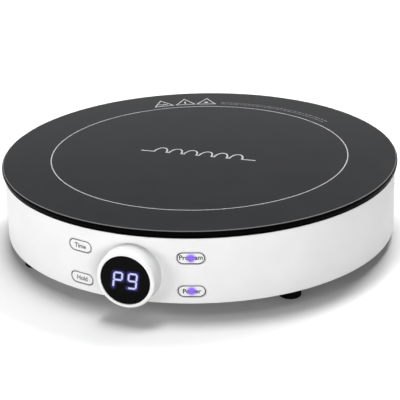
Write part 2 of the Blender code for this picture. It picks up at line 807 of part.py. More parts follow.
def fan(body):
    """A square axial fan over the air inlet: the frame with its motor seat, and the impeller."""
    depth = 0.015
    x, y = FAN_CENTRE
    frame = box("fan_frame", (FAN_SIZE, FAN_SIZE, depth))
    middle = FAN_Z + depth / 2
    frame = put("fan_frame", frame, black_plastic(), body, (x, y, middle))
    bevel(frame, 0.004, 2)
    duct = rods("fan_duct", [(0, 0, 0)], 0.0375, 2 * depth, ROUND_STEPS)
    cut(frame, "duct_cut", duct, body, (x, y, middle))
    seat_depth = 0.0025
    seat = rods("fan_seat", [(0, 0, 0)], 0.014, seat_depth, SMALL_STEPS)
    for number in range(3):
        strut = bars("fan_strut", [((0, 0.0260, 0), (0.004, 0.026, seat_depth * 0.8), 0)])
        strut.transform(Matrix.Rotation(math.tau * (number + 0.5) / 3, 4, "Z"))
        strut_place = (x, y, FAN_Z + seat_depth / 2)
        join(frame, f"strut_join_{number}", strut, body, strut_place)
    join(frame, "seat_join_fan", seat, body, (x, y, FAN_Z + seat_depth / 2))
    fan_axis = empty("fan_axis", (x, y, FAN_Z + seat_depth + 0.0005), parent=body)
    hub_depth = 0.0105
    hub = rods("fan_impeller", [(0, 0, hub_depth / 2)], 0.0150, hub_depth, SMALL_STEPS)
    impeller = put("fan_impeller", hub, black_plastic(), fan_axis)
    blades = bmesh.new()
    for number in range(7):
        turn = Matrix.Rotation(math.tau * number / 7, 4, "Z")
        place = turn @ Matrix.Translation((0, 0.0245, hub_depth / 2))
        tilt = Matrix.Rotation(math.radians(38), 4, "Y")
        size = Matrix.Diagonal((0.0135, 0.0225, 0.0012, 1))
        bmesh.ops.create_cube(blades, size=1.0, matrix=place @ tilt @ size)
    join(impeller, "blade_join", finished("blades", blades), fan_axis)


# Wiring and the cord's inlet ----------------------------------------------------------------------------
def landing(x, y):
    """The last two places of a lead that comes straight down onto the power board."""
    return [(x, y, PARTS_Z + 0.0040), (x, y, PARTS_Z + 0.0004)]


def through_former(place):
    """The first places of a lead that goes straight down through the coil's tray."""
    return [(place.x, place.y, FORMER_Z + drop) for drop in (0.0045, -0.001, -0.004)]


def lead(name, route, radius, finish, body):
    """A round lead along a smooth curve through its route's places."""
    put(name, wire(name, smooth(route, 4), radius), finish, body)


def wiring(body):
    """The leads between the coil, the sensor, the fan and the two boards."""
    route = [*through_former(INNER_LEAD), (0.0225, -0.0100, 0.0320), *landing(0.0300, -0.0240)]
    lead("coil_lead_inner", route, LEAD_RADIUS, copper(), body)
    route = [*through_former(OUTER_LEAD), (0.0800, -0.0300, 0.0300), *landing(0.0710, -0.0270)]
    lead("coil_lead_outer", route, LEAD_RADIUS, copper(), body)
    route = [(0, 0, FORMER_Z + 0.0042), (0, 0, 0.0360), (0.0060, -0.0120, 0.0300)]
    route += landing(0.0180, -0.0240)
    lead("thermistor_lead", route, 0.0008, white_wire(), body)
    fan_side = FAN_CENTRE[0] + FAN_SIZE / 2 + GAP
    route = [(fan_side, -0.0200, 0.0180), (-0.0070, -0.0200, 0.0185), (0.0060, -0.0190, 0.0220)]
    lead("fan_lead", [*route, *landing(0.0170, -0.0130)], LEAD_RADIUS, black_plastic(), body)
    thickness = 0.001
    front = -CONTROL_BOARD_FRONT + BOARD_THICKNESS + GAP
    path = [(front, 0.0200), (-0.112, 0.0150), (-0.100, 0.0125), (-0.050, 0.0125), (-0.0328, 0.0150)]
    lower = [(y, z - thickness) for y, z in path]
    ribbon = outline("control_ribbon", lower + path[::-1], 0.012)
    ribbon.transform(Matrix.Rotation(math.pi / 2, 4, "Z") @ Matrix.Rotation(math.pi / 2, 4, "X"))
    put("control_ribbon", ribbon, white_wire(), body, (0.035, 0, 0))


def cord_gland(body):
    """The rubber bush in the rear wall that the mains cord comes through."""
    outside = GLASS_RADIUS
    profile = [
        (0.0068, outside),
        (0.0075, outside - 0.0005),
        (0.0075, BODY_RADIUS + 0.0002),
        (0.0052, BODY_RADIUS + 0.0002),
        (0.0052, INNER_RADIUS - 0.0004),
        (0.0070, INNER_RADIUS - 0.0004),
        (0.0064, INNER_RADIUS - 0.0050),
        (0.0036, INNER_RADIUS - 0.0050),
        (0.0036, outside),
    ]
    mesh = turned("cord_gland", profile, SMALL_STEPS)
    put("cord_gland", mesh, black_rubber(), body, (0, 0, GLAND_Z), (-math.pi / 2, 0, 0))


def main():
    """Clears the scene and builds every piece about the body's axis."""
    clear_scene()
    body = empty("cooktop", (0, AXIS_Y, 0))
    housing(body)
    bottom_cover(body)
    glass(body)
    for name, place in FOOT_PLACES.items():
        foot(name, place, body)
    for number, place in enumerate(COVER_SCREWS, start=1):
        seat = Vector((place.x, place.y, FLOOR_Z - GAP))
        screw(f"cover_screw_{number}", seat, True, SCREW_LENGTH, body)
    for number, place in enumerate(COIL_POSTS, start=1):
        seat = Vector((place.x, place.y, FORMER_Z + 0.003 + GAP))
        screw(f"coil_screw_{number}", seat, False, 0.009, body)
    controls = empty("controls", (0, 0, CONTROL_Z), (math.pi / 2, 0, 0), body)
    knob_axis = empty("knob_axis", (0, 0, 0), (0, 0, 0), controls)
    knob(knob_axis)
    display(controls)
    cap_band = key_shell("cap_band", 0.1360, BODY_RADIUS, body)
    flange_band = key_shell("flange_band", 0.1352, 0.1365, body)
    for name, (x, z) in KEYS.items():
        key(name, x, z, cap_band, flange_band, body)
    control_board(body)
    coil(body)
    sensor(body)
    electronics(body)
    fan(body)
    wiring(body)
    cord_gland(body)


main()
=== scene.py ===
"""The looks of a round portable induction cooktop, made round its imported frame.

The front, with the knob and the keys, faces -Y and the glass faces +Z. Every length is in metres. Places come
from the boxes of the frame's nodes, and sizes that the frame doesn't hold are the fields of the class that
uses them. Each visible surface is worked out with numpy on a grid, as its function's docstring says.
"""

import json
import logging
import math
from dataclasses import dataclass
from enum import Enum
from typing import Callable, Sequence

import bmesh
import bpy
import numpy as np
from mathutils import Matrix, Vector


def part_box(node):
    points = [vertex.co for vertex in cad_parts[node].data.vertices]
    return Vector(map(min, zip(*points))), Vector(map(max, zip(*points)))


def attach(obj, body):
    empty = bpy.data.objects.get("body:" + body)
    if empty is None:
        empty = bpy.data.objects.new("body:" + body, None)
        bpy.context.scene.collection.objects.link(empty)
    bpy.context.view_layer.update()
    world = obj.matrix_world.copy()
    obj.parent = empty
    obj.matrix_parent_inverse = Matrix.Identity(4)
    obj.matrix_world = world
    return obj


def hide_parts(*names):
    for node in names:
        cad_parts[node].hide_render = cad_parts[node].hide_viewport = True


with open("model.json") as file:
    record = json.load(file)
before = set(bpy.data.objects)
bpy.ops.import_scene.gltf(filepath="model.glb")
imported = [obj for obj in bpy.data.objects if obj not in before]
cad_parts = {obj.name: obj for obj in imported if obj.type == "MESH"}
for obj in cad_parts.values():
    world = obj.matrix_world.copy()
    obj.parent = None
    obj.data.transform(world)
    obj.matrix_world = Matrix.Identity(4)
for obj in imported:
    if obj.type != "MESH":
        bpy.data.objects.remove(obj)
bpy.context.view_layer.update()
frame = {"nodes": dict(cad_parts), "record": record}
LOG = logging.getLogger("cooktop")

Array = np.ndarray
Colour = tuple[float, float, float]
Corner = tuple[float, float, float]
Span = tuple[float, float]
Socket = bpy.types.NodeSocket
RANGE_INPUTS = ("From Min", "From Max", "To Min", "To Max")
BLACK: Colour = (0.0, 0.0, 0.0)

KNOB_GAP = 0.0004  # between the knob's back and its seat
CUT_REACH = (0.120, 0.150)  # the openings are cut between these distances from the drum's axis
MERGE = 1e-7  # places nearer than this are one place
GUARD_SHARE = 0.35  # how far beyond a rounded corner its guard place stands, in roundings
GUARD_LIMIT = 0.3  # and at most, as a share of the flat side left
ARC_STEPS = 6  # along each rounded edge
BIG_STEPS = 288  # round the drum
KNOB_STEPS = 144
SMALL_STEPS = 64
PRINT_DEPTH = 0.00003  # how proud printing stands
MILLIMETRE = 0.001
SHARP = 0.0  # corner roundings, from none to full
FINE = 0.0001
CRISP = 0.0002
EASED = 0.0003
SOFT = 0.0004
GENTLE = 0.0005
FULL = 0.0011
WANDER = (0.3, 0.7)  # the part of soft noise that is stretched to the full drift
COLOUR_PATCH = 0.7  # size of the patches of colour, where those of gloss are 1
GLOSSIEST = 0.02  # the least roughness


class Body(Enum):
    """The moving bodies of the frame."""

    ROOT = "root"
    KNOB = "knob"
    FAN = "fan"
    TIMER = "timer_button"
    LOCK = "lock_button"
    FUNCTION = "function_button"
    POWER = "power_button"


# Shapes -------------------------------------------------------------------------------------------------
def weld(mesh: bpy.types.Mesh) -> None:
    """Merges places that coincide and turns every face outwards."""
    work = bmesh.new()
    work.from_mesh(mesh)
    bmesh.ops.remove_doubles(work, verts=work.verts, dist=MERGE)
    bmesh.ops.recalc_face_normals(work, faces=work.faces)
    work.to_mesh(mesh)
    work.free()


@dataclass(frozen=True)
class Shape:
    """Places, an (n, 3) array, and the four-sided faces between them, an (m, 4) array of their numbers."""

    places: Array
    faces: Array

    @staticmethod
    def grid(points: Array, close_u: bool = False, close_v: bool = False) -> "Shape":
        """Faces between the neighbours of a grid of places.

        Args:
            points: an (u, v, 3) array.
            close_u: joins the last row to the first.
            close_v: joins the last column to the first.

        Returns:
            The grid as a shape; rows whose places coincide close up when the mesh is made.
        """
        rows, columns = points.shape[:2]
        u = np.arange(rows if close_u else rows - 1)
        v = np.arange(columns if close_v else columns - 1)
        i, j = np.meshgrid(u, v, indexing="ij")
        down, across = (i + 1) % rows, (j + 1) % columns
        corners = (i * columns + j, down * columns + j, down * columns + across, i * columns + across)
        return Shape(points.reshape(-1, 3), np.stack(corners, axis=-1).reshape(-1, 4))

    @staticmethod
    def capped(rows: Array) -> "Shape":
        """A tube through rows of places, an (n, m, 3) array, with each end drawn in to its middle."""
        start, end = (np.broadcast_to(row.mean(axis=0), (1, *row.shape)) for row in (rows[0], rows[-1]))
        return Shape.grid(np.concatenate((start, rows, end)), close_v=True)

    @staticmethod
    def turned(profile: Array, steps: int, closed: bool = False) -> "Shape":
        """A profile of (radius, height) turned round Z: x = r cos t, y = r sin t, z = height.

        Args:
            profile: an (n, 2) array that runs down the outer side.
            steps: how many times it is repeated round the turn.
            closed: joins the profile's end to its start.

        Returns:
            The turned surface.
        """
        angle = np.linspace(0.0, math.tau, steps, endpoint=False)
        radius, height = profile[:, 0, None], profile[:, 1, None]
        x, y, z = np.broadcast_arrays(radius * np.cos(angle), radius * np.sin(angle), height)
        return Shape.grid(np.stack((x, y, z), axis=-1), close_u=closed, close_v=True)

    @staticmethod
    def slab(outline: Array, low: float, high: float) -> "Shape":
        """A flat plate: the outline at two heights, each closed by faces that meet at its middle.

        Args:
            outline: an (n, 2) array of x and y, anticlockwise and star-shaped about its mean.
            low: height of the underside.
            high: height of the top.

        Returns:
            The plate.
        """
        middle = np.broadcast_to(outline.mean(axis=0), outline.shape)
        rows = [(middle, high), (outline, high), (outline, low), (middle, low)]
        points = [np.column_stack((flat, np.full(len(flat), level))) for flat, level in rows]
        return Shape.grid(np.array(points), close_v=True)

    @staticmethod
    def ribbon(path: Array, width: float, low: float, high: float, closed: bool) -> "Shape":
        """A flat strip along a path: its sides stand half the width to each side, mitred at the bends.

        Args:
            path: an (n, 2) array of x and y.
            width: across the strip.
            low: height of the underside.
            high: height of the top.
            closed: joins the path's end to its start.

        Returns:
            The strip, with its ends closed.
        """
        ahead = np.roll(path, -1, axis=0) - path
        behind = path - np.roll(path, 1, axis=0)
        if not closed:
            ahead[-1] = behind[-1]
            behind[0] = ahead[0]
        ahead /= np.linalg.norm(ahead, axis=1, keepdims=True)
        behind /= np.linalg.norm(behind, axis=1, keepdims=True)
        across = np.column_stack((-(ahead + behind)[:, 1], (ahead + behind)[:, 0]))
        across /= 1.0 + np.sum(ahead * behind, axis=1, keepdims=True)
        left, right = path + across * width / 2, path - across * width / 2
        corners = ((left, high), (left, low), (right, low), (right, high))
        section = [np.column_stack((flat, np.full(len(flat), level))) for flat, level in corners]
        points = np.stack(section, axis=1)
        return Shape.grid(points, close_u=True, close_v=True) if closed else Shape.capped(points)

    @staticmethod
    def swept(path: Array, side: Array, up: Array, section: Array) -> "Shape":
        """A section carried along a path: place = path + side * a + up * b, with both ends closed.

        Args:
            path: an (n, 3) array.
            side: an (n, 3) array of unit directions.
            up: an (n, 3) array of unit directions.
            section: an (n, m, 2) or (m, 2) array of a and b.

        Returns:
            The swept solid.
        """
        section = np.broadcast_to(section, (len(path), *section.shape[-2:]))
        return Shape.capped(path[:, None] + side[:, None] * section[..., :1] + up[:, None] * section[..., 1:])

    @staticmethod
    def joined(*shapes: "Shape") -> "Shape":
        """Several shapes as one."""
        starts = np.cumsum([0, *(len(shape.places) for shape in shapes[:-1])])
        faces = [shape.faces + start for shape, start in zip(shapes, starts)]
        return Shape(np.concatenate([shape.places for shape in shapes]), np.concatenate(faces))

    def mapped(self, rule: Callable[[Array], Array]) -> "Shape":
        """The shape with each place changed by the rule."""
        return Shape(rule(self.places), self.faces)

    def moved(self, x: float = 0.0, y: float = 0.0, z: float = 0.0) -> "Shape":
        """The shape moved as a whole."""
        return Shape(self.places + np.array((x, y, z)), self.faces)

    def turned_by(self, degrees: float, axis: str = "Z") -> "Shape":
        """The shape turned about one of the axes."""
        matrix = np.array(Matrix.Rotation(math.radians(degrees), 3, axis))
        return Shape(self.places @ matrix.T, self.faces)

    def facing_front(self) -> "Shape":
        """What was made round +Z, made round -Y: (x, y, z) goes to (x, -z, y)."""
        return self.turned_by(90.0, "X")

    def facing_back(self) -> "Shape":
        """What was made round +Z, made round +Y: (x, y, z) goes to (x, z, -y)."""
        return self.turned_by(-90.0, "X")

    def mesh(self, name: str, sharp: float = 40.0) -> bpy.types.Mesh:
        """The shape as a closed mesh, shaded smooth below the sharp angle in degrees."""
        mesh = bpy.data.meshes.new(name)
        mesh.from_pydata(self.places.tolist(), [], self.faces.tolist())
        weld(mesh)
        mesh.shade_smooth()
        mesh.set_sharp_from_angle(angle=math.radians(sharp))
        return mesh


def rounded(corners: Sequence[Corner], closed: bool = False, steps: int = ARC_STEPS) -> Array:
    """An outline whose corners are circular arcs.

    An arc of radius q touches the two sides at q / tan(half the corner's angle) from the corner. One more
    place just before and just after it keeps the shading of the flat sides flat.

    Args:
        corners: (a, b, rounding) for each corner, in order.
        closed: joins the last corner to the first.
        steps: places along an arc.

    Returns:
        An (n, 2) array.
    """
    places = []
    last = len(corners) - 1
    for number, (a, b, radius) in enumerate(corners):
        corner = np.array((a, b))
        if radius == 0.0 or (not closed and number in (0, last)):
            places.append(corner[None])
            continue
        before = np.array(corners[number - 1][:2]) - corner
        after = np.array(corners[(number + 1) % len(corners)][:2]) - corner
        reach = min(np.linalg.norm(before), np.linalg.norm(after))
        before /= np.linalg.norm(before)
        after /= np.linalg.norm(after)
        half = math.acos(np.clip(before @ after, -1.0, 1.0)) / 2
        touch = radius / math.tan(half)
        bisector = (before + after) / np.linalg.norm(before + after)
        centre = corner + bisector * radius / math.sin(half)
        start, end = corner + before * touch - centre, corner + after * touch - centre
        sweep = math.pi - 2 * half
        t = np.linspace(0.0, 1.0, steps + 1)[:, None]
        arc = centre + (start * np.sin((1 - t) * sweep) + end * np.sin(t * sweep)) / math.sin(sweep)
        guard = min(GUARD_SHARE * radius, GUARD_LIMIT * max(reach - touch, 0.0))
        places += [corner + before * (touch + guard), arc, corner + after * (touch + guard)]
    return np.concatenate([np.atleast_2d(place) for place in places])


def pill(length: float, height: float, inset: float = 0.0, steps: int = 14) -> Array:
    """The outline of a pill: two half circles joined by straight sides, all moved in by the inset.

    Args:
        length: from end to end.
        height: across, which is twice the radius of the ends.
        inset: how far every side is moved in.
        steps: places along each half circle and along each side.

    Returns:
        An (n, 2) array, anticlockwise.
    """
    radius = height / 2
    reach = length / 2 - radius
    turn = np.linspace(-math.pi / 2, math.pi / 2, steps)
    right = np.column_stack((reach + (radius - inset) * np.cos(turn), (radius - inset) * np.sin(turn)))
    along = np.linspace(reach, -reach, steps)[1:-1]
    top = np.column_stack((along, np.full(len(along), radius - inset)))
    return np.concatenate((right, top, -right, -top))


def circle(radius: float, steps: int, middle: tuple[float, float] = (0.0, 0.0)) -> Array:
    """Places round a circle, an (n, 2) array, anticlockwise."""
    turn = np.linspace(0.0, math.tau, steps, endpoint=False)
    return radius * np.column_stack((np.cos(turn), np.sin(turn))) + middle


def polar(radius: float, degrees: float) -> Array:
    """A place round the drum's axis; 0 degrees is the rear and 90 is the right."""
    angle = math.radians(degrees)
    return np.array((radius * math.sin(angle), radius * math.cos(angle)))


# Finishes -----------------------------------------------------------------------------------------------
class Nodes:
    """A material's nodes while it is put together; patterns are read in the piece's own metres."""

    def __init__(self, name: str) -> None:
        """Starts a material with a Principled shader."""
        self.material = bpy.data.materials.new(name)
        self.material.use_nodes = True
        self.tree = self.material.node_tree
        self.shader = self.tree.nodes["Principled BSDF"]
        self.place = self.tree.nodes.new("ShaderNodeTexCoord").outputs["Object"]

    def add(self, kind: str, **values: object) -> bpy.types.Node:
        """A node of that kind with its properties set."""
        node = self.tree.nodes.new(kind)
        for name, value in values.items():
            setattr(node, name, value)
        return node

    def link(self, source: Socket, target: Socket) -> None:
        """Joins two sockets."""
        self.tree.links.new(source, target)

    def mapped(self, centre: Corner = (0, 0, 0), stretch: Corner = (1, 1, 1)) -> Socket:
        """The piece's places moved so that the centre is at zero, then stretched."""
        node = self.add("ShaderNodeMapping")
        node.inputs["Location"].default_value = [-c * s for c, s in zip(centre, stretch)]
        node.inputs["Scale"].default_value = stretch
        self.link(self.place, node.inputs["Vector"])
        return node.outputs["Vector"]

    def noise(self, size: float, detail: float = 2.0, stretch: Corner = (1, 1, 1)) -> Socket:
        """Soft noise from 0 to 1 whose bumps are about that size."""
        node = self.add("ShaderNodeTexNoise")
        node.inputs["Scale"].default_value = 1.0 / size
        node.inputs["Detail"].default_value = detail
        self.link(self.mapped(stretch=stretch), node.inputs["Vector"])
        return node.outputs["Fac"]

    def ranged(self, value: Socket, source: Span, target: Span, smooth: bool = False) -> Socket:
        """The value with one range carried onto another, clamped."""
        node = self.add("ShaderNodeMapRange", interpolation_type="SMOOTHSTEP" if smooth else "LINEAR")
        for name, number in zip(RANGE_INPUTS, (*source, *target)):
            node.inputs[name].default_value = number
        self.link(value, node.inputs["Value"])
        return node.outputs["Result"]

    def shine(self, share: Socket, low: Colour, high: Colour) -> None:
        """Makes the surface give off a colour between two."""
        self.link(self.mixed(share, low, high), self.shader.inputs["Emission Color"])
        self.shader.inputs["Emission Strength"].default_value = 1.0

    def mixed(self, share: Socket, first: object, second: object) -> Socket:
        """A colour between two, each a colour or a socket."""
        node = self.add("ShaderNodeMix", data_type="RGBA")
        self.link(share, node.inputs["Factor"])
        for socket, value in zip((node.inputs[6], node.inputs[7]), (first, second)):
            if isinstance(value, Socket):
                self.link(value, socket)
            else:
                socket.default_value = (*value, 1.0)
        return node.outputs[2]

    def larger(self, first: Socket, second: Socket) -> Socket:
        """The larger of two values."""
        node = self.add("ShaderNodeMath", operation="MAXIMUM")
        self.link(first, node.inputs[0])
        self.link(second, node.inputs[1])
        return node.outputs["Value"]

    def cells(self, size: float, **values: object) -> bpy.types.Node:
        """A pattern of cells of about that size."""
        node = self.add("ShaderNodeTexVoronoi", **values)
        node.inputs["Scale"].default_value = 1.0 / size
        self.link(self.place, node.inputs["Vector"])
        return node

    def attribute(self, name: str) -> Socket:
        """A number kept at each of the piece's places."""
        return self.add("ShaderNodeAttribute", attribute_name=name).outputs["Fac"]

    def distance(self, centre: Corner, stretch: Corner = (1, 1, 1)) -> Socket:
        """How far a place is from the centre, after the stretch."""
        node = self.add("ShaderNodeVectorMath", operation="LENGTH")
        self.link(self.mapped(centre, stretch), node.inputs[0])
        return node.outputs["Value"]


@dataclass(frozen=True)
class Finish:
    """A moulded, fired or metal surface with a fine grain and slight drifts of colour and gloss."""

    name: str
    colour: Colour
    roughness: float
    metallic: float = 0.0
    specular: float = 0.5
    coat: float = 0.0
    grain: float = 0.0005  # size of the surface's grain
    depth: float = 0.000004  # depth of the grain
    drift: float = 0.02  # share by which the colour wanders
    gloss_drift: float = 0.05  # by how much the roughness wanders
    patch: float = 0.03  # size of those drifts
    stretch: Corner = (1.0, 1.0, 1.0)  # draws the grain out along an axis

    def material(self) -> bpy.types.Material:
        """The finish as a material, made once."""
        found = bpy.data.materials.get(self.name)
        if found is not None:
            return found
        nodes = Nodes(self.name)
        inputs = nodes.shader.inputs
        inputs["Metallic"].default_value = self.metallic
        inputs["Specular IOR Level"].default_value = self.specular
        inputs["Coat Weight"].default_value = self.coat
        nodes.link(self.colours(nodes), inputs["Base Color"])
        glossy = max(self.roughness - self.gloss_drift, GLOSSIEST)
        dull = min(self.roughness + self.gloss_drift, 1.0)
        nodes.link(nodes.ranged(nodes.noise(self.patch, 3.0), WANDER, (glossy, dull)), inputs["Roughness"])
        bump = nodes.add("ShaderNodeBump")
        bump.inputs["Distance"].default_value = self.depth
        nodes.link(self.heights(nodes), bump.inputs["Height"])
        nodes.link(bump.outputs["Normal"], inputs["Normal"])
        self.light(nodes)
        return nodes.material

    def shade(self, share: float) -> Colour:
        """The finish's colour made lighter or darker by a share."""
        return tuple(min(channel * share, 1.0) for channel in self.colour)

    def colours(self, nodes: Nodes) -> Socket:
        """The base colour, which drifts from patch to patch."""
        wander = nodes.ranged(nodes.noise(self.patch * COLOUR_PATCH, 4.0), WANDER, (0.0, 1.0))
        return nodes.mixed(wander, self.shade(1 - self.drift), self.shade(1 + self.drift))

    def heights(self, nodes: Nodes) -> Socket:
        """The grain's height from 0 to 1."""
        return nodes.noise(self.grain, 3.0, self.stretch)

    def light(self, nodes: Nodes) -> None:
        """What the surface gives off: nothing, unless a finish says otherwise."""


@dataclass(frozen=True)
class GlowFinish(Finish):
    """A dark surface lit from within by the amount kept at its places in the attribute glow."""

    glow: Colour = BLACK

    def light(self, nodes: Nodes) -> None:
        """The glow's colour times the attribute."""
        nodes.shine(nodes.attribute("glow"), BLACK, self.glow)


@dataclass(frozen=True)
class LitFinish(Finish):
    """A surface that shines evenly, with a little unevenness."""

    glow: Colour = (1.0, 1.0, 1.0)
    dimmest: float = 0.93  # share of the light that the weakest places give
    spread: float = 0.002  # size of the uneven places

    def light(self, nodes: Nodes) -> None:
        """The glow's colour, a little weaker in places."""
        wander = nodes.ranged(nodes.noise(self.spread, 2.0), WANDER, (0.0, 1.0))
        nodes.shine(wander, tuple(channel * self.dimmest for channel in self.glow), self.glow)


@dataclass(frozen=True)
class LampFinish(Finish):
    """A key's plastic or ink with a lamp behind it: a coloured spot that fades outwards."""

    glow: Colour = (0.26, 0.15, 0.86)
    centre: Corner = (0.0, 0.0, 0.0)
    core: float = 0.0016
    halo: float = 0.0040
    behind: Colour = (0.02, 0.01, 0.05)  # what the surface itself gives back over the lamp

    def spot(self, nodes: Nodes) -> Socket:
        """1 within the core, falling smoothly to 0 at the halo's edge."""
        away = nodes.distance(self.centre, (1, 0, 1))
        return nodes.ranged(away, (self.core, self.halo), (1.0, 0.0), smooth=True)

    def colours(self, nodes: Nodes) -> Socket:
        """The finish's own colour, darker where the lamp shines through."""
        return nodes.mixed(self.spot(nodes), super().colours(nodes), self.behind)

    def light(self, nodes: Nodes) -> None:
        """The lamp's colour times the spot."""
        nodes.shine(self.spot(nodes), BLACK, self.glow)


@dataclass(frozen=True)
class BoardFinish(Finish):
    """Solder mask over copper: paler straight tracks and round pads under a glossy green."""

    track: float = 0.006  # between tracks
    pads_per_track: float = 1.6
    disorder: float = 0.55  # 0 is a square grid
    track_edge: Span = (0.06, 0.09)
    pad_edge: Span = (0.14, 0.18)
    pale: Colour = (0.05, 0.28, 0.12)

    def tracks(self, nodes: Nodes) -> Socket:
        """1 on a track or a pad, which are the lines and dots of two cell patterns."""
        cells = nodes.cells(self.track, feature="DISTANCE_TO_EDGE")
        cells.inputs["Randomness"].default_value = self.disorder
        lines = nodes.ranged(cells.outputs["Distance"], self.track_edge, (1.0, 0.0))
        dots = nodes.cells(self.track / self.pads_per_track)
        pads = nodes.ranged(dots.outputs["Distance"], self.pad_edge, (1.0, 0.0))
        return nodes.larger(lines, pads)

    def colours(self, nodes: Nodes) -> Socket:
        """Green, paler over the copper."""
        return nodes.mixed(self.tracks(nodes), super().colours(nodes), self.pale)

    def heights(self, nodes: Nodes) -> Socket:
        """The tracks stand a little proud."""
        return self.tracks(nodes)


@dataclass(frozen=True)
class FlakeFinish(Finish):
    """A sheet of pressed flakes or sintered grains: cells that differ in colour and height."""

    flake: float = 0.003
    dark: Colour = (0.5, 0.42, 0.28)

    def cells(self, nodes: Nodes) -> Socket:
        """A different value from 0 to 1 for each cell."""
        grey = nodes.add("ShaderNodeRGBToBW")
        nodes.link(nodes.cells(self.flake).outputs["Color"], grey.inputs[0])
        return grey.outputs[0]

    def colours(self, nodes: Nodes) -> Socket:
        """From the dark flakes to the light ones."""
        return nodes.mixed(self.cells(nodes), self.dark, self.colour)

    def heights(self, nodes: Nodes) -> Socket:
        """Each cell at its own level."""
        return self.cells(nodes)


WALL_WHITE = Finish("wall_white", (0.86, 0.86, 0.86), 0.42, specular=0.4, grain=0.0004, depth=0.000006)
KNOB_WHITE = Finish("knob_white", (0.88, 0.88, 0.88), 0.36, specular=0.4, depth=0.000003)
# the knob's side: a satin finish whose darker white is painted shade
KNOB_SATIN_SHADED = Finish("knob_satin", (0.77, 0.77, 0.77), 0.5, specular=0.3, depth=0.000006)
KEY_WHITE = Finish("key_white", (0.86, 0.86, 0.86), 0.4, specular=0.4, grain=0.0004)
BASE_WHITE = Finish("base_white", (0.80, 0.80, 0.79), 0.5, grain=0.0008, depth=0.00003)
GLASS_FACE = Finish("glass_face", (0.0245, 0.0250, 0.0262), 0.14, grain=0.001, depth=0.0000002,
                    drift=0.03, gloss_drift=0.02)
GLASS_EDGE = Finish("glass_edge", (0.0015, 0.0015, 0.0015), 0.25, specular=0.012, depth=0.000002)
# a light grey for the glass's top bevel: a painted highlight line along the edge
GLASS_BEVEL_HIGHLIGHT = Finish("glass_bevel", (0.16, 0.16, 0.165), 0.4, specular=0.3, depth=0.000002)
TRIM_BLACK = Finish("trim_black", (0.0015, 0.0015, 0.0015), 0.45, specular=0.012, depth=0.00001)
CASE_BLACK = Finish("case_black", (0.012, 0.012, 0.013), 0.5, grain=0.0006, depth=0.00003, drift=0.2)
RUBBER = Finish("foot_rubber", (0.002, 0.002, 0.002), 0.75, specular=0.08, depth=0.00004, drift=0.25)
SILICONE = Finish("silicone_grey", (0.50, 0.50, 0.48), 0.55, grain=0.0007, depth=0.00002)
STEEL = Finish("screw_steel", (0.60, 0.60, 0.62), 0.32, metallic=1.0, grain=0.0003, depth=0.00001, drift=0.1)
ALUMINIUM = Finish("sink_aluminium", (0.72, 0.72, 0.74), 0.38, metallic=1.0, depth=0.00002,
                   stretch=(0.05, 1.0, 1.0))
COPPER = Finish("enamelled_copper", (0.62, 0.23, 0.10), 0.33, metallic=1.0, coat=0.4, grain=0.0004,
                drift=0.15)
WIRE_WHITE = Finish("wire_white", (0.78, 0.78, 0.76), 0.45, grain=0.0006, depth=0.00001)
CAPACITOR_BLUE = Finish("capacitor_blue", (0.03, 0.13, 0.42), 0.35, coat=0.3, drift=0.1)
FUSE_WHITE = Finish("fuse_ceramic", (0.78, 0.78, 0.75), 0.3, coat=0.3)
LAMP_CLEAR = Finish("lamp_clear", (0.75, 0.75, 0.95), 0.2, coat=0.5)
PRINT_GREY = Finish("print_grey", (0.38, 0.38, 0.39), 0.5, specular=0.2, grain=0.0003, drift=0.05)
PRINT_DARK = Finish("print_dark", (0.012, 0.010, 0.016), 0.55, specular=0.2, drift=0.1)
PRINT_MID = Finish("print_mid", (0.060, 0.056, 0.064), 0.55, specular=0.2, drift=0.1)
PRINT_FAINT = Finish("print_faint", (0.16, 0.16, 0.17), 0.5, specular=0.2, grain=0.0003, drift=0.1)
SEGMENTS = LitFinish("lit_segments", (0.02, 0.02, 0.03), 0.4, glow=(0.60, 0.60, 0.95))
WINDOW = GlowFinish("smoked_window", (0.002, 0.002, 0.0022), 0.12, specular=0.05, drift=0.05,
                    gloss_drift=0.03, depth=0.0000005, glow=(0.035, 0.035, 0.17))
FERRITE = FlakeFinish("ferrite_black", (0.05, 0.05, 0.055), 0.6, depth=0.00004, flake=0.0006,
                      dark=(0.02, 0.02, 0.022))
MICA = FlakeFinish("pressed_mica", (0.72, 0.64, 0.46), 0.4, depth=0.00003, flake=0.0025)
BOARD = BoardFinish("solder_mask", (0.012, 0.15, 0.055), 0.3, coat=0.4, depth=0.00004)


# Pieces -------------------------------------------------------------------------------------------------
def place_piece(
    obj: bpy.types.Object, finish: Finish, body: Body, stands_for: Sequence[str] = ()
) -> None:
    """Gives a piece its finish and its body, and hides the frame's nodes that it stands for.

    Args:
        obj: the piece, finished and in place.
        finish: what it is made of.
        body: what it moves with.
        stands_for: names of the frame's nodes.
    """
    obj.data.materials.clear()
    obj.data.materials.append(finish.material())
    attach(obj, body.value)
    if stands_for:
        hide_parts(*stands_for)
    LOG.info("%s: %d faces, on %s", obj.name, len(obj.data.polygons), body.value)


def new_object(name: str, data: bpy.types.ID) -> bpy.types.Object:
    """An object with that data, linked into the scene."""
    obj = bpy.data.objects.new(name, data)
    bpy.context.scene.collection.objects.link(obj)
    return obj


def new_piece(name: str, shape: Shape, sharp: float = 40.0) -> bpy.types.Object:
    """A piece made from a shape, linked into the scene."""
    return new_object(name, shape.mesh(name, sharp))


def settled_mesh(obj: bpy.types.Object) -> bpy.types.Mesh:
    """A new mesh of the object as its modifiers or its type leave it."""
    bpy.context.view_layer.update()
    graph = bpy.context.evaluated_depsgraph_get()
    return bpy.data.meshes.new_from_object(obj.evaluated_get(graph))


def box_middle(node: str) -> Vector:
    """The middle of a node's box."""
    low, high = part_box(node)
    return (low + high) / 2


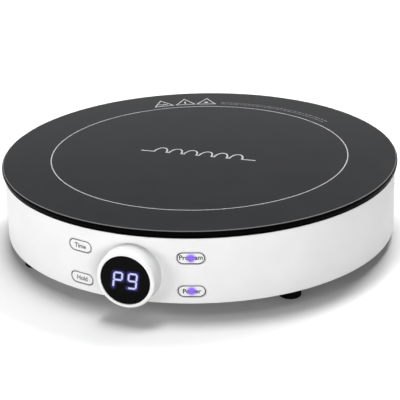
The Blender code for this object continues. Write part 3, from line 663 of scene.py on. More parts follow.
def mesh_places(mesh: bpy.types.Mesh) -> Array:
    """The places of a mesh, an (n, 3) array."""
    places = np.empty(len(mesh.vertices) * 3)
    mesh.vertices.foreach_get("co", places)
    return places.reshape(-1, 3)


def add_finish(obj: bpy.types.Object, finish: Finish, where: Array) -> None:
    """Gives one more finish to the faces that the mask picks out."""
    obj.data.materials.append(finish.material())
    numbers = np.empty(len(obj.data.polygons), dtype=np.int32)
    obj.data.polygons.foreach_get("material_index", numbers)
    numbers[where] = len(obj.data.materials) - 1
    obj.data.polygons.foreach_set("material_index", numbers)


def face_centres(obj: bpy.types.Object) -> Array:
    """The middle of each face, an (n, 3) array."""
    centres = np.empty(len(obj.data.polygons) * 3)
    obj.data.polygons.foreach_get("center", centres)
    return centres.reshape(-1, 3)


def radii_and_heights(obj: bpy.types.Object, axis_y: float) -> tuple[Array, Array]:
    """How far each face's middle is from the drum's axis, and how high it is."""
    x, y, z = face_centres(obj).T
    return np.hypot(x, y - axis_y), z


def combine(obj: bpy.types.Object, shape: Shape, operation: str) -> None:
    """Takes a shape away from a piece or joins it on, and keeps the result as the piece's mesh.

    Args:
        obj: the piece.
        shape: the shape, closed and facing out.
        operation: DIFFERENCE or UNION.
    """
    other = new_piece(obj.name + "_tool", shape)
    modifier = obj.modifiers.new("combine", "BOOLEAN")
    modifier.operation = operation
    modifier.solver = "EXACT"
    modifier.object = other
    mesh = settled_mesh(obj)
    obj.modifiers.clear()
    obj.data = mesh
    bpy.data.objects.remove(other)
    mesh.shade_smooth()
    mesh.set_sharp_from_angle(angle=math.radians(30.0))


@dataclass(frozen=True)
class Layout:
    """Where things are, read from the frame's boxes."""

    axis_y: float
    glass_radius: float
    glass_top: float
    glass_under: float
    wall_radius: float
    wall_top: float
    wall_bottom: float
    control_z: float
    knob_face: float
    knob_skirt: float
    knob_back: float
    window_face: float
    window_radius: float

    @staticmethod
    def read() -> "Layout":
        """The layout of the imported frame; distances to the front are from the drum's axis."""
        glass_low, glass_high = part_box("glass_plate")
        wall_low, wall_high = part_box("housing")
        knob_low, knob_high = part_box("knob_ring")
        window_low, window_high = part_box("display_window")
        axis_y = box_middle("glass_plate").y
        seat = axis_y - wall_low.y
        return Layout(
            axis_y=axis_y,
            glass_radius=(glass_high.x - glass_low.x) / 2,
            glass_top=glass_high.z,
            glass_under=glass_low.z,
            wall_radius=(wall_high.x - wall_low.x) / 2,
            wall_top=wall_high.z,
            wall_bottom=wall_low.z,
            control_z=box_middle("encoder_rotor").z,
            knob_face=axis_y - knob_low.y,
            knob_skirt=(knob_high.x - knob_low.x) / 2,
            knob_back=seat + KNOB_GAP,
            window_face=axis_y - window_low.y,
            window_radius=(window_high.x - window_low.x) / 2,
        )

    def on_axis(self, shape: Shape) -> Shape:
        """A shape made round the origin, facing +Z, put on the knob's axis to face the front."""
        return shape.facing_front().moved(y=self.axis_y, z=self.control_z)

    def on_wall(self, places: Array) -> Array:
        """Lays a drawing on the front of the drum.

        A place (x, y, z) of the drawing goes to x across, y up and z out: its y in the frame is that of the
        round wall at x, less z.

        Args:
            places: an (n, 3) array.

        Returns:
            The places in the frame.
        """
        x, up, out = places.T
        return np.column_stack((x, self.axis_y - np.sqrt(self.wall_radius**2 - x**2) - out, up))


@dataclass(frozen=True)
class GlassTop:
    """The black glass plate, what is printed on it, and the black ring under it."""

    layout: Layout
    ring_radius: float = 0.10606
    ring_width: float = 0.00072
    edge_start: float = 0.1398  # where the flat face gives way to the bevel, whose light grey is a painted highlight
    bevel: float = 0.00045
    flat_rows: tuple[float, ...] = (0.0, 0.05, 0.1, 0.1358, 0.1394)  # radii of the flat face's rings
    edge_steps: int = 25
    edge_fullness: float = 0.7  # 1 is half an ellipse, less is squarer
    skirt_play: float = 0.0031  # from the wall's outside to the skirt
    lip_lift: float = 0.0003
    lip_rounding: float = 0.00025
    shelf_drop: float = 0.0013
    sheet: float = 0.0012  # thickness of the shelf
    skirt_sheet: float = 0.0018
    shelf_radii: Span = (0.120, 0.132)
    symbol_length: float = 0.086
    symbol_lead: float = 0.010
    humps: int = 6
    hump_height: float = 0.0085
    hump_foot: float = 0.0022
    stroke: float = 0.0012
    triangle_radius: float = 0.1120  # from the axis to a triangle's base
    triangle_side: float = 0.0145
    triangle_height: float = 0.0135
    triangle_degrees: tuple[float, ...] = (-32.4, -23.7, -15.4)
    dash_rows: tuple[float, ...] = (0.1156, 0.1126)
    thin_stroke: float = 0.0009  # of the triangles and the wave
    bar_stroke: float = 0.0011
    bar_from: float = 0.0022
    bar_to: float = 0.0072
    dot_radius: float = 0.0016
    dot_height: float = 0.0042
    wave_reach: float = 0.0032  # half the wave's length
    wave_height: float = 0.0038
    wave_swing: float = 0.0010
    dash_lengths: tuple[float, ...] = (3.1, 1.7, 2.4, 4.0, 1.3, 2.8, 3.5, 1.9)  # millimetres
    dash_gap: float = 0.9
    dash_stroke: float = 0.00075
    dash_from: float = -9.5
    dash_to: float = 38.0

    def build(self) -> None:
        """Makes every piece of the glass top."""
        self.plate()
        self.ring()
        self.trim()
        self.symbol()
        self.triangles()
        self.dashes()

    def centred(self, shape: Shape, z: float = 0.0) -> Shape:
        """A shape made round the origin, put on the drum's axis."""
        return shape.moved(y=self.layout.axis_y, z=z)

    @property
    def ink(self) -> Span:
        """The heights of the under and the upper side of what is printed."""
        return self.layout.glass_top - PRINT_DEPTH, self.layout.glass_top + PRINT_DEPTH

    def line(self, path: Array, width: float, closed: bool = False) -> Shape:
        """A printed line along a path."""
        return Shape.ribbon(path, width, *self.ink, closed=closed)

    def printed(self, name: str, *shapes: Shape, finish: Finish = PRINT_GREY) -> None:
        """Makes a piece of what is printed, drawn about the middle of the glass."""
        place_piece(new_piece(name, self.centred(Shape.joined(*shapes))), finish, Body.ROOT)

    def plate(self) -> None:
        """The plate: a flat face, a narrow bevel coloured light grey as a painted highlight line, and a full
        polished edge below it.
        """
        top, under, reach = self.layout.glass_top, self.layout.glass_under, self.layout.glass_radius
        middle = (top + under) / 2
        half = (top - under) / 2 - self.bevel
        shoulder = self.edge_start + self.bevel
        angle = np.linspace(math.pi / 2, -math.pi / 2, self.edge_steps)
        edge_r = shoulder + (reach - shoulder) * np.cos(angle) ** self.edge_fullness
        edge_z = middle + half * np.sin(angle)
        flat_r = np.array((*self.flat_rows, self.edge_start))
        top_side = np.column_stack((flat_r, np.full(len(flat_r), top)))
        under_side = np.column_stack((flat_r[::-1], np.full(len(flat_r), under)))
        profile = np.concatenate((top_side, np.column_stack((edge_r, edge_z)), under_side))
        piece = new_piece("glass_top", self.centred(Shape.turned(profile, BIG_STEPS)))
        place_piece(piece, GLASS_FACE, Body.ROOT, ["glass_plate"])
        r, z = radii_and_heights(piece, self.layout.axis_y)
        # the bevel band gets the light grey finish, a painted highlight
        highlight_band = (r > self.edge_start) & (z > top - self.bevel)
        polished = (z < top - PRINT_DEPTH) & ~highlight_band
        add_finish(piece, GLASS_BEVEL_HIGHLIGHT, highlight_band)
        add_finish(piece, GLASS_EDGE, polished)

    def ring(self) -> None:
        """The thin line that marks the heated place."""
        low, high = self.ink
        corners = [
            (self.ring_radius + side * self.ring_width / 2, level, SHARP)
            for side, level in ((-1, high), (1, high), (1, low), (-1, low))
        ]
        self.printed("glass_top_ring", Shape.turned(rounded(corners, True), BIG_STEPS, True))

    def trim(self) -> None:
        """The ring between glass and wall: a lip, a skirt inside the wall and a shelf for the seal."""
        low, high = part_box("glass_frame")
        reach = (high.x - low.x) / 2
        skirt = self.layout.wall_radius - self.skirt_play
        lip = self.layout.wall_top + self.lip_lift
        shelf = high.z - self.shelf_drop
        inside = skirt - self.skirt_sheet
        bore, step = self.shelf_radii
        corners = [
            (reach, high.z, self.lip_rounding),
            (reach, lip, self.lip_rounding),
            (skirt, lip, SHARP),
            (skirt, low.z, SOFT),
            (inside, low.z, SOFT),
            (inside, shelf - self.sheet, SOFT),
            (bore, shelf - self.sheet, SOFT),
            (bore, shelf, SOFT),
            (step, shelf, SHARP),
            (step, high.z, CRISP),
        ]
        piece = new_piece("trim_ring", self.centred(Shape.turned(rounded(corners, True), BIG_STEPS, True)))
        place_piece(piece, TRIM_BLACK, Body.ROOT, ["glass_frame"])

    def symbol(self) -> None:
        """A coil drawn as humps, with flat feet between them and a straight lead at each end.

        A hump is half an ellipse: x = centre - half width * cos t and y = height * sin t, t from 0 to pi.
        """
        half = self.symbol_length / 2
        pitch = (self.symbol_length - 2 * self.symbol_lead + self.hump_foot) / self.humps
        centres = (np.arange(self.humps) - (self.humps - 1) / 2) * pitch
        turn = np.linspace(0.0, math.pi, 25)
        x = centres[:, None] - (pitch - self.hump_foot) / 2 * np.cos(turn)
        y = np.broadcast_to(self.hump_height * np.sin(turn), x.shape)
        path = np.concatenate(([(-half, 0.0)], np.column_stack((x.ravel(), y.ravel())), [(half, 0.0)]))
        path[:, 1] -= self.hump_height / 2
        self.printed("glass_top_symbol", self.line(path, self.stroke))

    def triangles(self) -> None:
        """Three plain outlined triangles with a dot, a bar and a wave in them, set round the ring."""
        half = self.triangle_side / 2
        outline = np.array(((-half, 0.0), (half, 0.0), (0.0, self.triangle_height)))
        bar = np.array(((0.0, self.bar_from), (0.0, self.bar_to)))
        across = np.linspace(-self.wave_reach, self.wave_reach, 24)
        swing = self.wave_swing * np.sin(across / self.wave_reach * math.tau)
        marks = (
            self.line(np.column_stack((across, self.wave_height + swing)), self.thin_stroke),
            self.line(bar, self.bar_stroke),
            Shape.slab(circle(self.dot_radius, 20, (0.0, self.dot_height)), *self.ink),
        )
        shapes = []
        for degrees, mark in zip(self.triangle_degrees, marks):
            sides = self.line(outline, self.thin_stroke, closed=True)
            x, y = polar(self.triangle_radius, degrees)
            shapes.append(Shape.joined(sides, mark).turned_by(-degrees).moved(x, y))
        self.printed("glass_top_triangles", *shapes)

    def dashes(self) -> None:
        """Two rows of short dashes along the ring, each dash an arc of its own length."""
        shapes = []
        for row, radius in enumerate(self.dash_rows):
            step = math.degrees(MILLIMETRE / radius)
            degrees, number = self.dash_from, row * 3
            while degrees < self.dash_to:
                length = self.dash_lengths[number % len(self.dash_lengths)] * step
                angles = np.radians(np.linspace(degrees, degrees + length, 5))
                path = np.column_stack((radius * np.sin(angles), radius * np.cos(angles)))
                shapes.append(self.line(path, self.dash_stroke))
                degrees += length + self.dash_gap * step
                number += 1
        self.printed("glass_top_dashes", *shapes, finish=PRINT_FAINT)


class Word(Enum):
    """What is printed on each key."""

    TIMER = "Time"
    LOCK = "Hold"
    FUNCTION = "Program"
    POWER = "Power"


@dataclass(frozen=True)
class Key:
    """A pill-shaped key: its cap, the line printed round it, its word and, on some, a lamp behind it."""

    layout: Layout
    name: str
    body: Body
    word: Word
    lit: bool
    length: float = 0.0178
    height: float = 0.0084
    edge: float = 0.00022
    sunk: float = 0.00004  # how far the cap's face lies below the wall
    letter_size: float = 0.0044
    letter_weight: float = 0.00010  # how far each letter's outline is pushed out
    line_width: float = 0.00058
    ink_core: float = 0.0008  # the lamp's spot as it shows through the ink
    ink_halo: float = 0.0034
    flange_at: float = 0.0031  # depth of the flange's front below the wall
    flange_end: float = 0.0043
    flange_reach: float = 0.0008  # how far it stands out beyond the cap
    face_rings: tuple[float, ...] = (1.0, 0.75, 0.5, 0.25, 0.12)  # their insets, as shares of half the height
    stem_radius: float = 0.0015
    stem_offset: float = 0.005  # from the cap's middle towards the knob
    stem_root: float = 0.0003  # how far its root reaches into the cap
    stem_short: float = 0.00005  # how far the stem's end stays clear of the pressed switch

    @property
    def centre(self) -> tuple[float, float]:
        """The key's middle across and up, from the frame; the flange is centred on the cap."""
        middle = box_middle(f"{self.name}_key")
        return middle.x, middle.z

    @property
    def ink(self) -> Finish:
        """What the key is printed with: a dark ink that the lamp shines through, or a paler one."""
        if not self.lit:
            return PRINT_MID
        x, z = self.centre
        return LampFinish(f"{self.name}_ink", PRINT_DARK.colour, PRINT_DARK.roughness,
                          specular=PRINT_DARK.specular, centre=(x, 0.0, z), core=self.ink_core,
                          halo=self.ink_halo)

    def build(self) -> None:
        """Makes the key's pieces."""
        self.cap()
        self.outline()
        self.letters()

    def laid(self, shape: Shape) -> Shape:
        """A drawing about the key's middle, laid on the wall."""
        x, z = self.centre
        return shape.moved(x, z).mapped(self.layout.on_wall)

    def nested(self, stations: Sequence[tuple[float, float]]) -> Shape:
        """Pill outlines at the stations' insets and depths, joined in order."""
        rows = []
        for inset, depth in stations:
            outline = pill(self.length, self.height, inset)
            rows.append(np.column_stack((outline, np.full(len(outline), -depth))))
        return Shape.grid(np.array(rows), close_v=True)

    def cap(self) -> None:
        """The cap: nested pills from its middle out to a rounded edge, back to a flange, and a stem."""
        middle = self.height / 2
        turn = np.linspace(0.0, math.pi / 2, ARC_STEPS + 1)
        edge = [(self.edge * (1 - math.sin(t)), self.sunk + self.edge * (1 - math.cos(t))) for t in turn]
        face = [(middle * share, self.sunk) for share in self.face_rings]
        front, back, reach = self.flange_at, self.flange_end, -self.flange_reach
        flange = [(0.0, front), (reach, front), (reach, back), (0.0, back), (middle, back)]
        shape = self.laid(self.nested([*face, *edge, *flange]))
        x, z = self.centre
        _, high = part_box(f"{self.name}_key")
        stem_x = x - math.copysign(self.stem_offset, x)
        root = float(shape.places[:, 1].max()) - self.stem_root
        stem = Shape.slab(circle(self.stem_radius, 24), self.stem_short - high.y, -root)
        stem = stem.facing_front().moved(stem_x, 0.0, z)
        piece = new_piece(f"{self.name}_cap", Shape.joined(shape, stem))
        finish = KEY_WHITE
        if self.lit:
            finish = LampFinish(f"{self.name}_lit", KEY_WHITE.colour, 0.4, specular=0.4, centre=(x, 0.0, z))
        place_piece(piece, finish, self.body, [f"{self.name}_key"])

    def outline(self) -> None:
        """The dark line printed just inside the cap's edge."""
        outer, inner = self.edge, self.edge + self.line_width
        up, down = self.sunk - PRINT_DEPTH, self.sunk + PRINT_DEPTH
        rows = self.nested([(inner, up), (outer, up), (outer, down), (inner, down), (inner, up)])
        piece = new_piece(f"{self.name}_outline", self.laid(rows))
        place_piece(piece, self.ink, self.body)

    def letters(self) -> None:
        """The key's word in plain type, made a mesh and laid on the wall."""
        curve = bpy.data.curves.new(f"{self.name}_letters", "FONT")
        curve.body = self.word.value
        curve.size = self.letter_size
        curve.offset = self.letter_weight
        curve.align_x = "CENTER"
        curve.extrude = PRINT_DEPTH
        curve.resolution_u = 4
        source = new_object("letters", curve)
        mesh = settled_mesh(source)
        bpy.data.objects.remove(source)
        weld(mesh)
        places = mesh_places(mesh)
        places[:, 1] -= (places[:, 1].max() + places[:, 1].min()) / 2
        x, z = self.centre
        lean = math.sqrt(self.layout.wall_radius**2 - x**2) / self.layout.wall_radius
        places *= (lean, 1.0, 1.0)
        laid = self.layout.on_wall(places + (x, z, -self.sunk))
        mesh.vertices.foreach_set("co", laid.ravel())
        mesh.update()
        place_piece(new_object(f"{self.name}_letters", mesh), self.ink, self.body)


@dataclass(frozen=True)
class Wall:
    """The white drum, with its openings and the knob's seat."""

    layout: Layout
    thickness: float = 0.0025
    slot_length: float = 0.0184
    slot_height: float = 0.0090
    seat_radii: Span = (0.0125, 0.0193)
    seat_root: float = 0.0003  # how far the seat reaches into the wall
    knob_hole: float = 0.0111
    cord_hole: float = 0.0055

    def cutter(self, radius: float, steps: int) -> Shape:
        """A round plug that reaches through the wall, made round Z."""
        near, far = CUT_REACH
        return Shape.turned(np.array(((0.0, far), (radius, far), (radius, near), (0.0, near))), steps)

    def build(self, keys: Sequence[Key]) -> None:
        """Turns the drum's profile and then takes out the openings for the keys, the knob and the gland."""
        layout = self.layout
        inner = layout.wall_radius - self.thickness
        corners = [
            (inner, layout.wall_top, CRISP),
            (layout.wall_radius, layout.wall_top, GENTLE),
            (layout.wall_radius, layout.wall_bottom, SOFT),
            (inner, layout.wall_bottom, EASED),
        ]
        shape = Shape.turned(rounded(corners, True), BIG_STEPS, True).moved(y=layout.axis_y)
        wall = new_piece("wall_shell", shape)
        bore, reach = self.seat_radii
        face, root = layout.knob_back - KNOB_GAP, inner + self.seat_root
        seat = rounded([
            (bore, face, SHARP),
            (reach, face, EASED),
            (reach, root, SHARP),
            (bore, root, SHARP),
        ], True)
        combine(wall, layout.on_axis(Shape.turned(seat, KNOB_STEPS, True)), "UNION")
        combine(wall, layout.on_axis(self.cutter(self.knob_hole, KNOB_STEPS)), "DIFFERENCE")
        for key in keys:
            x, z = key.centre
            slot = Shape.slab(pill(self.slot_length, self.slot_height), *CUT_REACH).facing_front()
            combine(wall, slot.moved(x, layout.axis_y, z), "DIFFERENCE")
        inlet = self.cutter(self.cord_hole, SMALL_STEPS).facing_back()
        combine(wall, inlet.moved(y=layout.axis_y, z=box_middle("cord_gland").z), "DIFFERENCE")
        place_piece(wall, WALL_WHITE, Body.ROOT, ["housing"])


@dataclass(frozen=True)
class Knob:
    """The ring that turns."""

    layout: Layout
    bore: float = 0.01685
    front_radius: float = 0.0194
    front_rounding: float = 0.0016
    bore_rounding: float = 0.0003
    hub_radii: Span = (0.0090, 0.0106)
    web_thickness: float = 0.0022
    face_margin: float = 0.001  # width of the white round the bore

    def build(self) -> None:
        """Turns the ring's profile: a rounded face, a side that widens to the wall, a web and a hub."""
        layout = self.layout
        _, hub_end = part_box("knob_ring")
        hub_back = layout.axis_y - hub_end.y
        web = layout.knob_back + self.web_thickness
        hub_bore, hub = self.hub_radii
        corners = [
            (self.bore, layout.knob_face, self.bore_rounding),
            (self.front_radius, layout.knob_face, self.front_rounding),
            (layout.knob_skirt, layout.knob_back, SOFT),
            (hub, layout.knob_back, CRISP),
            (hub, hub_back, CRISP),
            (hub_bore, hub_back, CRISP),
            (hub_bore, web, CRISP),
            (self.bore, web, SHARP),
        ]
        shape = Shape.turned(rounded(corners, True, 10), KNOB_STEPS, True)
        piece = new_piece("knob_shell", layout.on_axis(shape))
        place_piece(piece, KNOB_WHITE, Body.KNOB, ["knob_ring"])
        # the side behind the front rounding, outside the white round the bore, gets the darker satin finish:
        # painted shade
        x, y, z = face_centres(piece).T
        behind = layout.axis_y - y < layout.knob_face - self.front_rounding
        around = np.hypot(x, z - layout.control_z) > self.bore + self.face_margin
        add_finish(piece, KNOB_SATIN_SHADED, behind & around)


@dataclass(frozen=True)
class Readout:
    """The round window and the two digits that shine through it."""

    layout: Layout
    digit_width: float = 0.0067
    digit_height: float = 0.0114
    pitch: float = 0.0098
    stroke: float = 0.00125
    gap: float = 0.00012
    slant: float = 8.0
    point: float = 0.42  # how far a bar's pointed end reaches, as a share of its width
    halo: float = 0.00085
    rim: float = 0.0006  # width of the window's flat rim, which has no rings of places
    edge_rounding: float = 0.00035
    rings: int = 44
    digits: tuple[str, ...] = ("abefg", "abcdfg")

    def lines(self) -> Array:
        """The middle lines of the lit bars, as an (n, 2, 2) array about the window's middle.

        Bars a to g are named as on any seven-bar digit: a on top, then clockwise, with g across the middle.
        """
        half_w = (self.digit_width - self.stroke) / 2
        half_h = (self.digit_height - self.stroke) / 2
        ends = {
            "a": ((-half_w, half_h), (half_w, half_h)),
            "b": ((half_w, half_h), (half_w, 0.0)),
            "c": ((half_w, 0.0), (half_w, -half_h)),
            "d": ((-half_w, -half_h), (half_w, -half_h)),
            "e": ((-half_w, 0.0), (-half_w, -half_h)),
            "f": ((-half_w, half_h), (-half_w, 0.0)),
            "g": ((-half_w, 0.0), (half_w, 0.0)),
        }
        lit = []
        for number, bars in enumerate(self.digits):
            shift = (number - (len(self.digits) - 1) / 2) * self.pitch
            lit += [np.array(ends[bar]) + (shift, 0.0) for bar in bars]
        return self.leaned(np.array(lit))

    def leaned(self, places: Array) -> Array:
        """Leans a drawing to the right: x grows by y times the tangent of the slant."""
        return places + places[..., 1:] * (math.tan(math.radians(self.slant)), 0.0)

    def build(self) -> None:
        """Makes the window and its digits."""
        self.window()
        self.bars()

    def window(self) -> None:
        """The window: rings of places from its middle out, then a rounded edge and the back.

        Each place keeps a glow of exp(-(d / halo)^2), where d is its distance from the nearest lit bar.
        """
        face, reach = self.layout.window_face, self.layout.window_radius
        low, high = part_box("display_window")
        back = face - (high.y - low.y)
        inner = np.linspace(0.0, reach - self.rim, self.rings)
        flat = np.column_stack((inner, np.full(len(inner), face)))
        edge = rounded([
            (reach - self.rim, face, SHARP),
            (reach, face, self.edge_rounding),
            (reach, back, CRISP),
            (0.0, back, SHARP),
        ])
        shape = Shape.turned(np.concatenate((flat, edge[1:])), KNOB_STEPS)
        piece = new_piece("readout_window", self.layout.on_axis(shape))
        flat_places = mesh_places(piece.data)[:, (0, 2)] - (0.0, self.layout.control_z)
        start, end = self.lines()[:, 0], self.lines()[:, 1]
        along = end - start
        share = np.sum((flat_places[:, None] - start) * along, axis=2) / np.sum(along**2, axis=1)
        nearest = start + along * np.clip(share, 0.0, 1.0)[..., None]
        away = np.linalg.norm(flat_places[:, None] - nearest, axis=2).min(axis=1) - self.stroke / 2
        glow = np.exp(-((np.maximum(away, 0.0) / self.halo) ** 2))
        attribute = piece.data.attributes.new("glow", "FLOAT", "POINT")
        attribute.data.foreach_set("value", glow.astype(np.float32))
        place_piece(piece, WINDOW, Body.ROOT, ["display_window"])

    def bars(self) -> None:
        """The lit bars: six-sided plates with pointed ends that stop short of each other."""
        face = self.layout.window_face
        shapes = []
        for start, end in self.lines():
            along = (end - start) / np.linalg.norm(end - start)
            across = np.array((-along[1], along[0])) * self.stroke / 2
            point, shoulder = along * self.gap, along * (self.gap + self.stroke * self.point)
            outline = np.array((
                start + point,
                start + shoulder - across,
                end - shoulder - across,
                end - point,
                end - shoulder + across,
                start + shoulder + across,
            ))
            shapes.append(Shape.slab(outline, face - PRINT_DEPTH, face + PRINT_DEPTH))
        piece = new_piece("readout_digits", self.layout.on_axis(Shape.joined(*shapes)))
        place_piece(piece, SEGMENTS, Body.ROOT)


@dataclass(frozen=True)
class Foot:
    """A push-in rubber foot."""

    layout: Layout
    name: str
    clearance: float = 0.0003  # between the shoulder and the wall's bottom
    barb_drop: float = 0.0024
    tip: float = 0.0022
    barb_reach: float = 0.0038
    stem: float = 0.0027
    hollow: float = 0.0035
    hollow_depth: float = 0.0008
    hollow_draft: float = 0.0004  # how much narrower the hollow is at its roof

    def build(self) -> None:
        """Turns the foot's profile: a barbed stem, a flat shoulder and a soft round pad with a hollow."""
        low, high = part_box(self.name)
        radius = (high.x - low.x) / 2
        shoulder = self.layout.wall_bottom - self.clearance
        barb = high.z - self.barb_drop
        roof = low.z + self.hollow_depth
        corners = [
            (0.0, high.z, SHARP),
            (self.tip, high.z, EASED),
            (self.barb_reach, barb, EASED),
            (self.stem, barb, FINE),
            (self.stem, shoulder, CRISP),
            (radius, shoulder, GENTLE),
            (radius, low.z, FULL),
            (self.hollow, low.z, EASED),
            (self.hollow - self.hollow_draft, roof, EASED),
            (0.0, roof, SHARP),
        ]
        x, y, _ = box_middle(self.name)
        shape = Shape.turned(rounded(corners, steps=8), SMALL_STEPS)
        piece = new_piece(f"{self.name}_pad", shape.moved(x, y))
        place_piece(piece, RUBBER, Body.ROOT, [self.name])


@dataclass(frozen=True)
class Gland:
    """The rubber bush of the cord's inlet."""

    layout: Layout
    bore: float = 0.0036
    neck: float = 0.0052
    collar: float = 0.0075
    collar_gap: float = 0.0002
    collar_draft: float = 0.0001  # how much narrower the collar is at its outer end
    collar_rounding: float = 0.0006
    barb: float = 0.0070
    barb_gap: float = 0.0004
    tail: float = 0.0064
    tail_reach: float = 0.0050  # how far the tail reaches inside the wall

    def build(self) -> None:
        """Turns the bush's profile round the inlet's axis."""
        _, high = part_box("cord_gland")
        outside = high.y - self.layout.axis_y
        inner = self.layout.wall_radius - Wall.thickness
        seat = self.layout.wall_radius + self.collar_gap
        catch, end = inner - self.barb_gap, inner - self.tail_reach
        corners = [
            (self.bore, outside, SOFT),
            (self.collar - self.collar_draft, outside, self.collar_rounding),
            (self.collar, seat, CRISP),
            (self.neck, seat, SHARP),
            (self.neck, catch, SHARP),
            (self.barb, catch, EASED),
            (self.tail, end, GENTLE),
            (self.bore, end, EASED),
        ]
        shape = Shape.turned(rounded(corners, True), SMALL_STEPS, True).facing_back()
        piece = new_piece("cord_bush", shape.moved(y=self.layout.axis_y, z=box_middle("cord_gland").z))
        place_piece(piece, RUBBER, Body.ROOT, ["cord_gland"])


@dataclass(frozen=True)
class Heating:
    """The winding under the glass."""

    layout: Layout
    turns: int = 23
    wire: float = 0.0013  # radius of the stranded wire
    strands: int = 5
    lobe: float = 0.08  # how far a strand stands out, as a share of the radius
    twist: float = 0.012  # length of wire over which the strands turn by a radian
    margin: float = 1.15  # from the coil's outside to the last wire's middle, in radii of the wire
    inside: float = 0.0213  # radius of the first turn
    steps_per_turn: int = 72
    steps_round_wire: int = 15

    def build(self) -> None:
        """Winds a flat spiral, r = r0 + (r1 - r0) t, of wire whose outline has one lobe for each strand."""
        low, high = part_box("induction_coil")
        outer = (high.x - low.x) / 2 - self.wire * self.margin
        t = np.linspace(0.0, 1.0, self.turns * self.steps_per_turn)
        angle = math.tau * self.turns * t
        radius = self.inside + (outer - self.inside) * t
        height = (low.z + high.z) / 2
        side = np.column_stack((np.cos(angle), np.sin(angle), np.zeros(len(t))))
        path = side * radius[:, None] + (0.0, self.layout.axis_y, height)
        up = np.broadcast_to((0.0, 0.0, 1.0), side.shape)
        around = np.linspace(0.0, math.tau, self.steps_round_wire, endpoint=False)
        twist = radius * angle / self.twist
        lobes = self.wire * (1 + self.lobe * np.cos(self.strands * (around[None] - twist[:, None])))
        section = np.stack((lobes * np.cos(around), lobes * np.sin(around)), axis=-1)
        piece = new_piece("coil_winding", Shape.swept(path, side, up, section), 60.0)
        place_piece(piece, COPPER, Body.ROOT, ["induction_coil"])


@dataclass(frozen=True)
class Choke:
    """The mains filter's ring with its two windings."""

    core: float = 0.0032
    wire: float = 0.00055
    turns: int = 15
    starts: Span = (12.0, 192.0)  # degrees round the core at which the windings start
    span: float = 156.0
    steps_per_turn: int = 20

    def build(self) -> None:
        """Turns the ring core and winds a wire round each half of it."""
        low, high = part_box("filter_choke")
        centre = box_middle("filter_choke")
        half_z = (high.z - low.z) / 2
        ring = (high.x - low.x) / 2 - half_z
        profile = circle(self.core, 24) * (1.0, -1.0) + (ring, 0.0)
        core = Shape.turned(profile, SMALL_STEPS, True).moved(*centre)
        piece = new_piece("choke_core", core)
        place_piece(piece, FERRITE, Body.ROOT)
        windings = []
        for start in self.starts:
            t = np.linspace(0.0, 1.0, self.turns * self.steps_per_turn)
            along = np.radians(start + self.span * t)
            turn = math.tau * self.turns * t
            reach = min(half_z, self.core + 2 * self.wire) - self.wire
            outward = np.column_stack((np.cos(along), np.sin(along), np.zeros(len(t))))
            lift = np.column_stack((np.zeros((len(t), 2)), np.ones(len(t))))
            radial = outward * np.cos(turn)[:, None] + lift * np.sin(turn)[:, None]
            path = outward * ring + radial * reach + np.array(centre)
            ahead = np.column_stack((-np.sin(along), np.cos(along), np.zeros(len(t))))
            windings.append(Shape.swept(path, radial, ahead, circle(self.wire, 8)))
        piece = new_piece("choke_winding", Shape.joined(*windings), 60.0)
        place_piece(piece, COPPER, Body.ROOT, ["filter_choke"])


@dataclass(frozen=True)
class FanRotor:
    """The impeller: a cup-shaped hub with curved blades."""

    blades: int = 7
    hub: float = 0.0150
    tip: float = 0.0358
    lean_root: float = 50.0  # degrees from flat at the hub
    lean_tip: float = 30.0
    thickness: float = 0.0011
    chord: float = 0.0128
    camber: float = 0.0012  # how far a blade's middle rises off its chord
    root: float = 0.0006  # how far a blade reaches into the hub
    clearance: float = 0.0002  # between a blade and the rotor's ends
    hub_sheet: float = 0.0012
    crown: float = 0.0012  # rounding of the hub's top

    def build(self) -> None:
        """Turns the hub and sweeps each blade from hub to tip.

        A blade is a grid over span u and chord v. Its middle surface stands at angle a0 + v c(u) round the
        axis and at height v h(u) + camber 4 v (1 - v), and its two faces are half the thickness off it.
        """
        low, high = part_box("fan_impeller")
        depth = high.z - low.z
        inside = self.hub - self.hub_sheet
        joints = frame["record"]["behaviour"]["joints"]
        x, y, _ = next(joint["pos_m"] for joint in joints if joint["name"] == "fan_spin")
        corners = [
            (0.0, depth, SHARP),
            (self.hub, depth, self.crown),
            (self.hub, 0.0, EASED),
            (inside, 0.0, EASED),
            (inside, self.hub_sheet, SHARP),
            (0.0, self.hub_sheet, SHARP),
        ]
        shapes = [Shape.turned(rounded(corners), SMALL_STEPS)]
        span = np.linspace(self.hub - self.root, self.tip, 14)[:, None]
        share = (span - self.hub) / (self.tip - self.hub)
        lean = np.radians(self.lean_root + (self.lean_tip - self.lean_root) * share)
        around = np.linspace(0.0, math.tau, 28, endpoint=False)[None]
        v = (1 - np.cos(around)) / 2 - 0.5
        off = np.sin(around) * self.thickness / 2
        along = v * self.chord * np.cos(lean) - off * np.sin(lean)
        rise = v * self.chord * np.sin(lean) + off * np.cos(lean) + self.camber * (1 - 4 * v**2)
        limit = depth / 2 - self.clearance
        rise = np.clip(rise, -limit, limit)
        angle = along / span
        blade = np.stack((span * np.cos(angle), span * np.sin(angle), rise + depth / 2 + 0 * angle), axis=-1)
        solid = Shape.capped(blade)
        shapes += [solid.turned_by(360.0 * number / self.blades) for number in range(self.blades)]
        piece = new_piece("fan_rotor", Shape.joined(*shapes).moved(x, y, low.z))
        place_piece(piece, CASE_BLACK, Body.FAN, ["fan_impeller"])


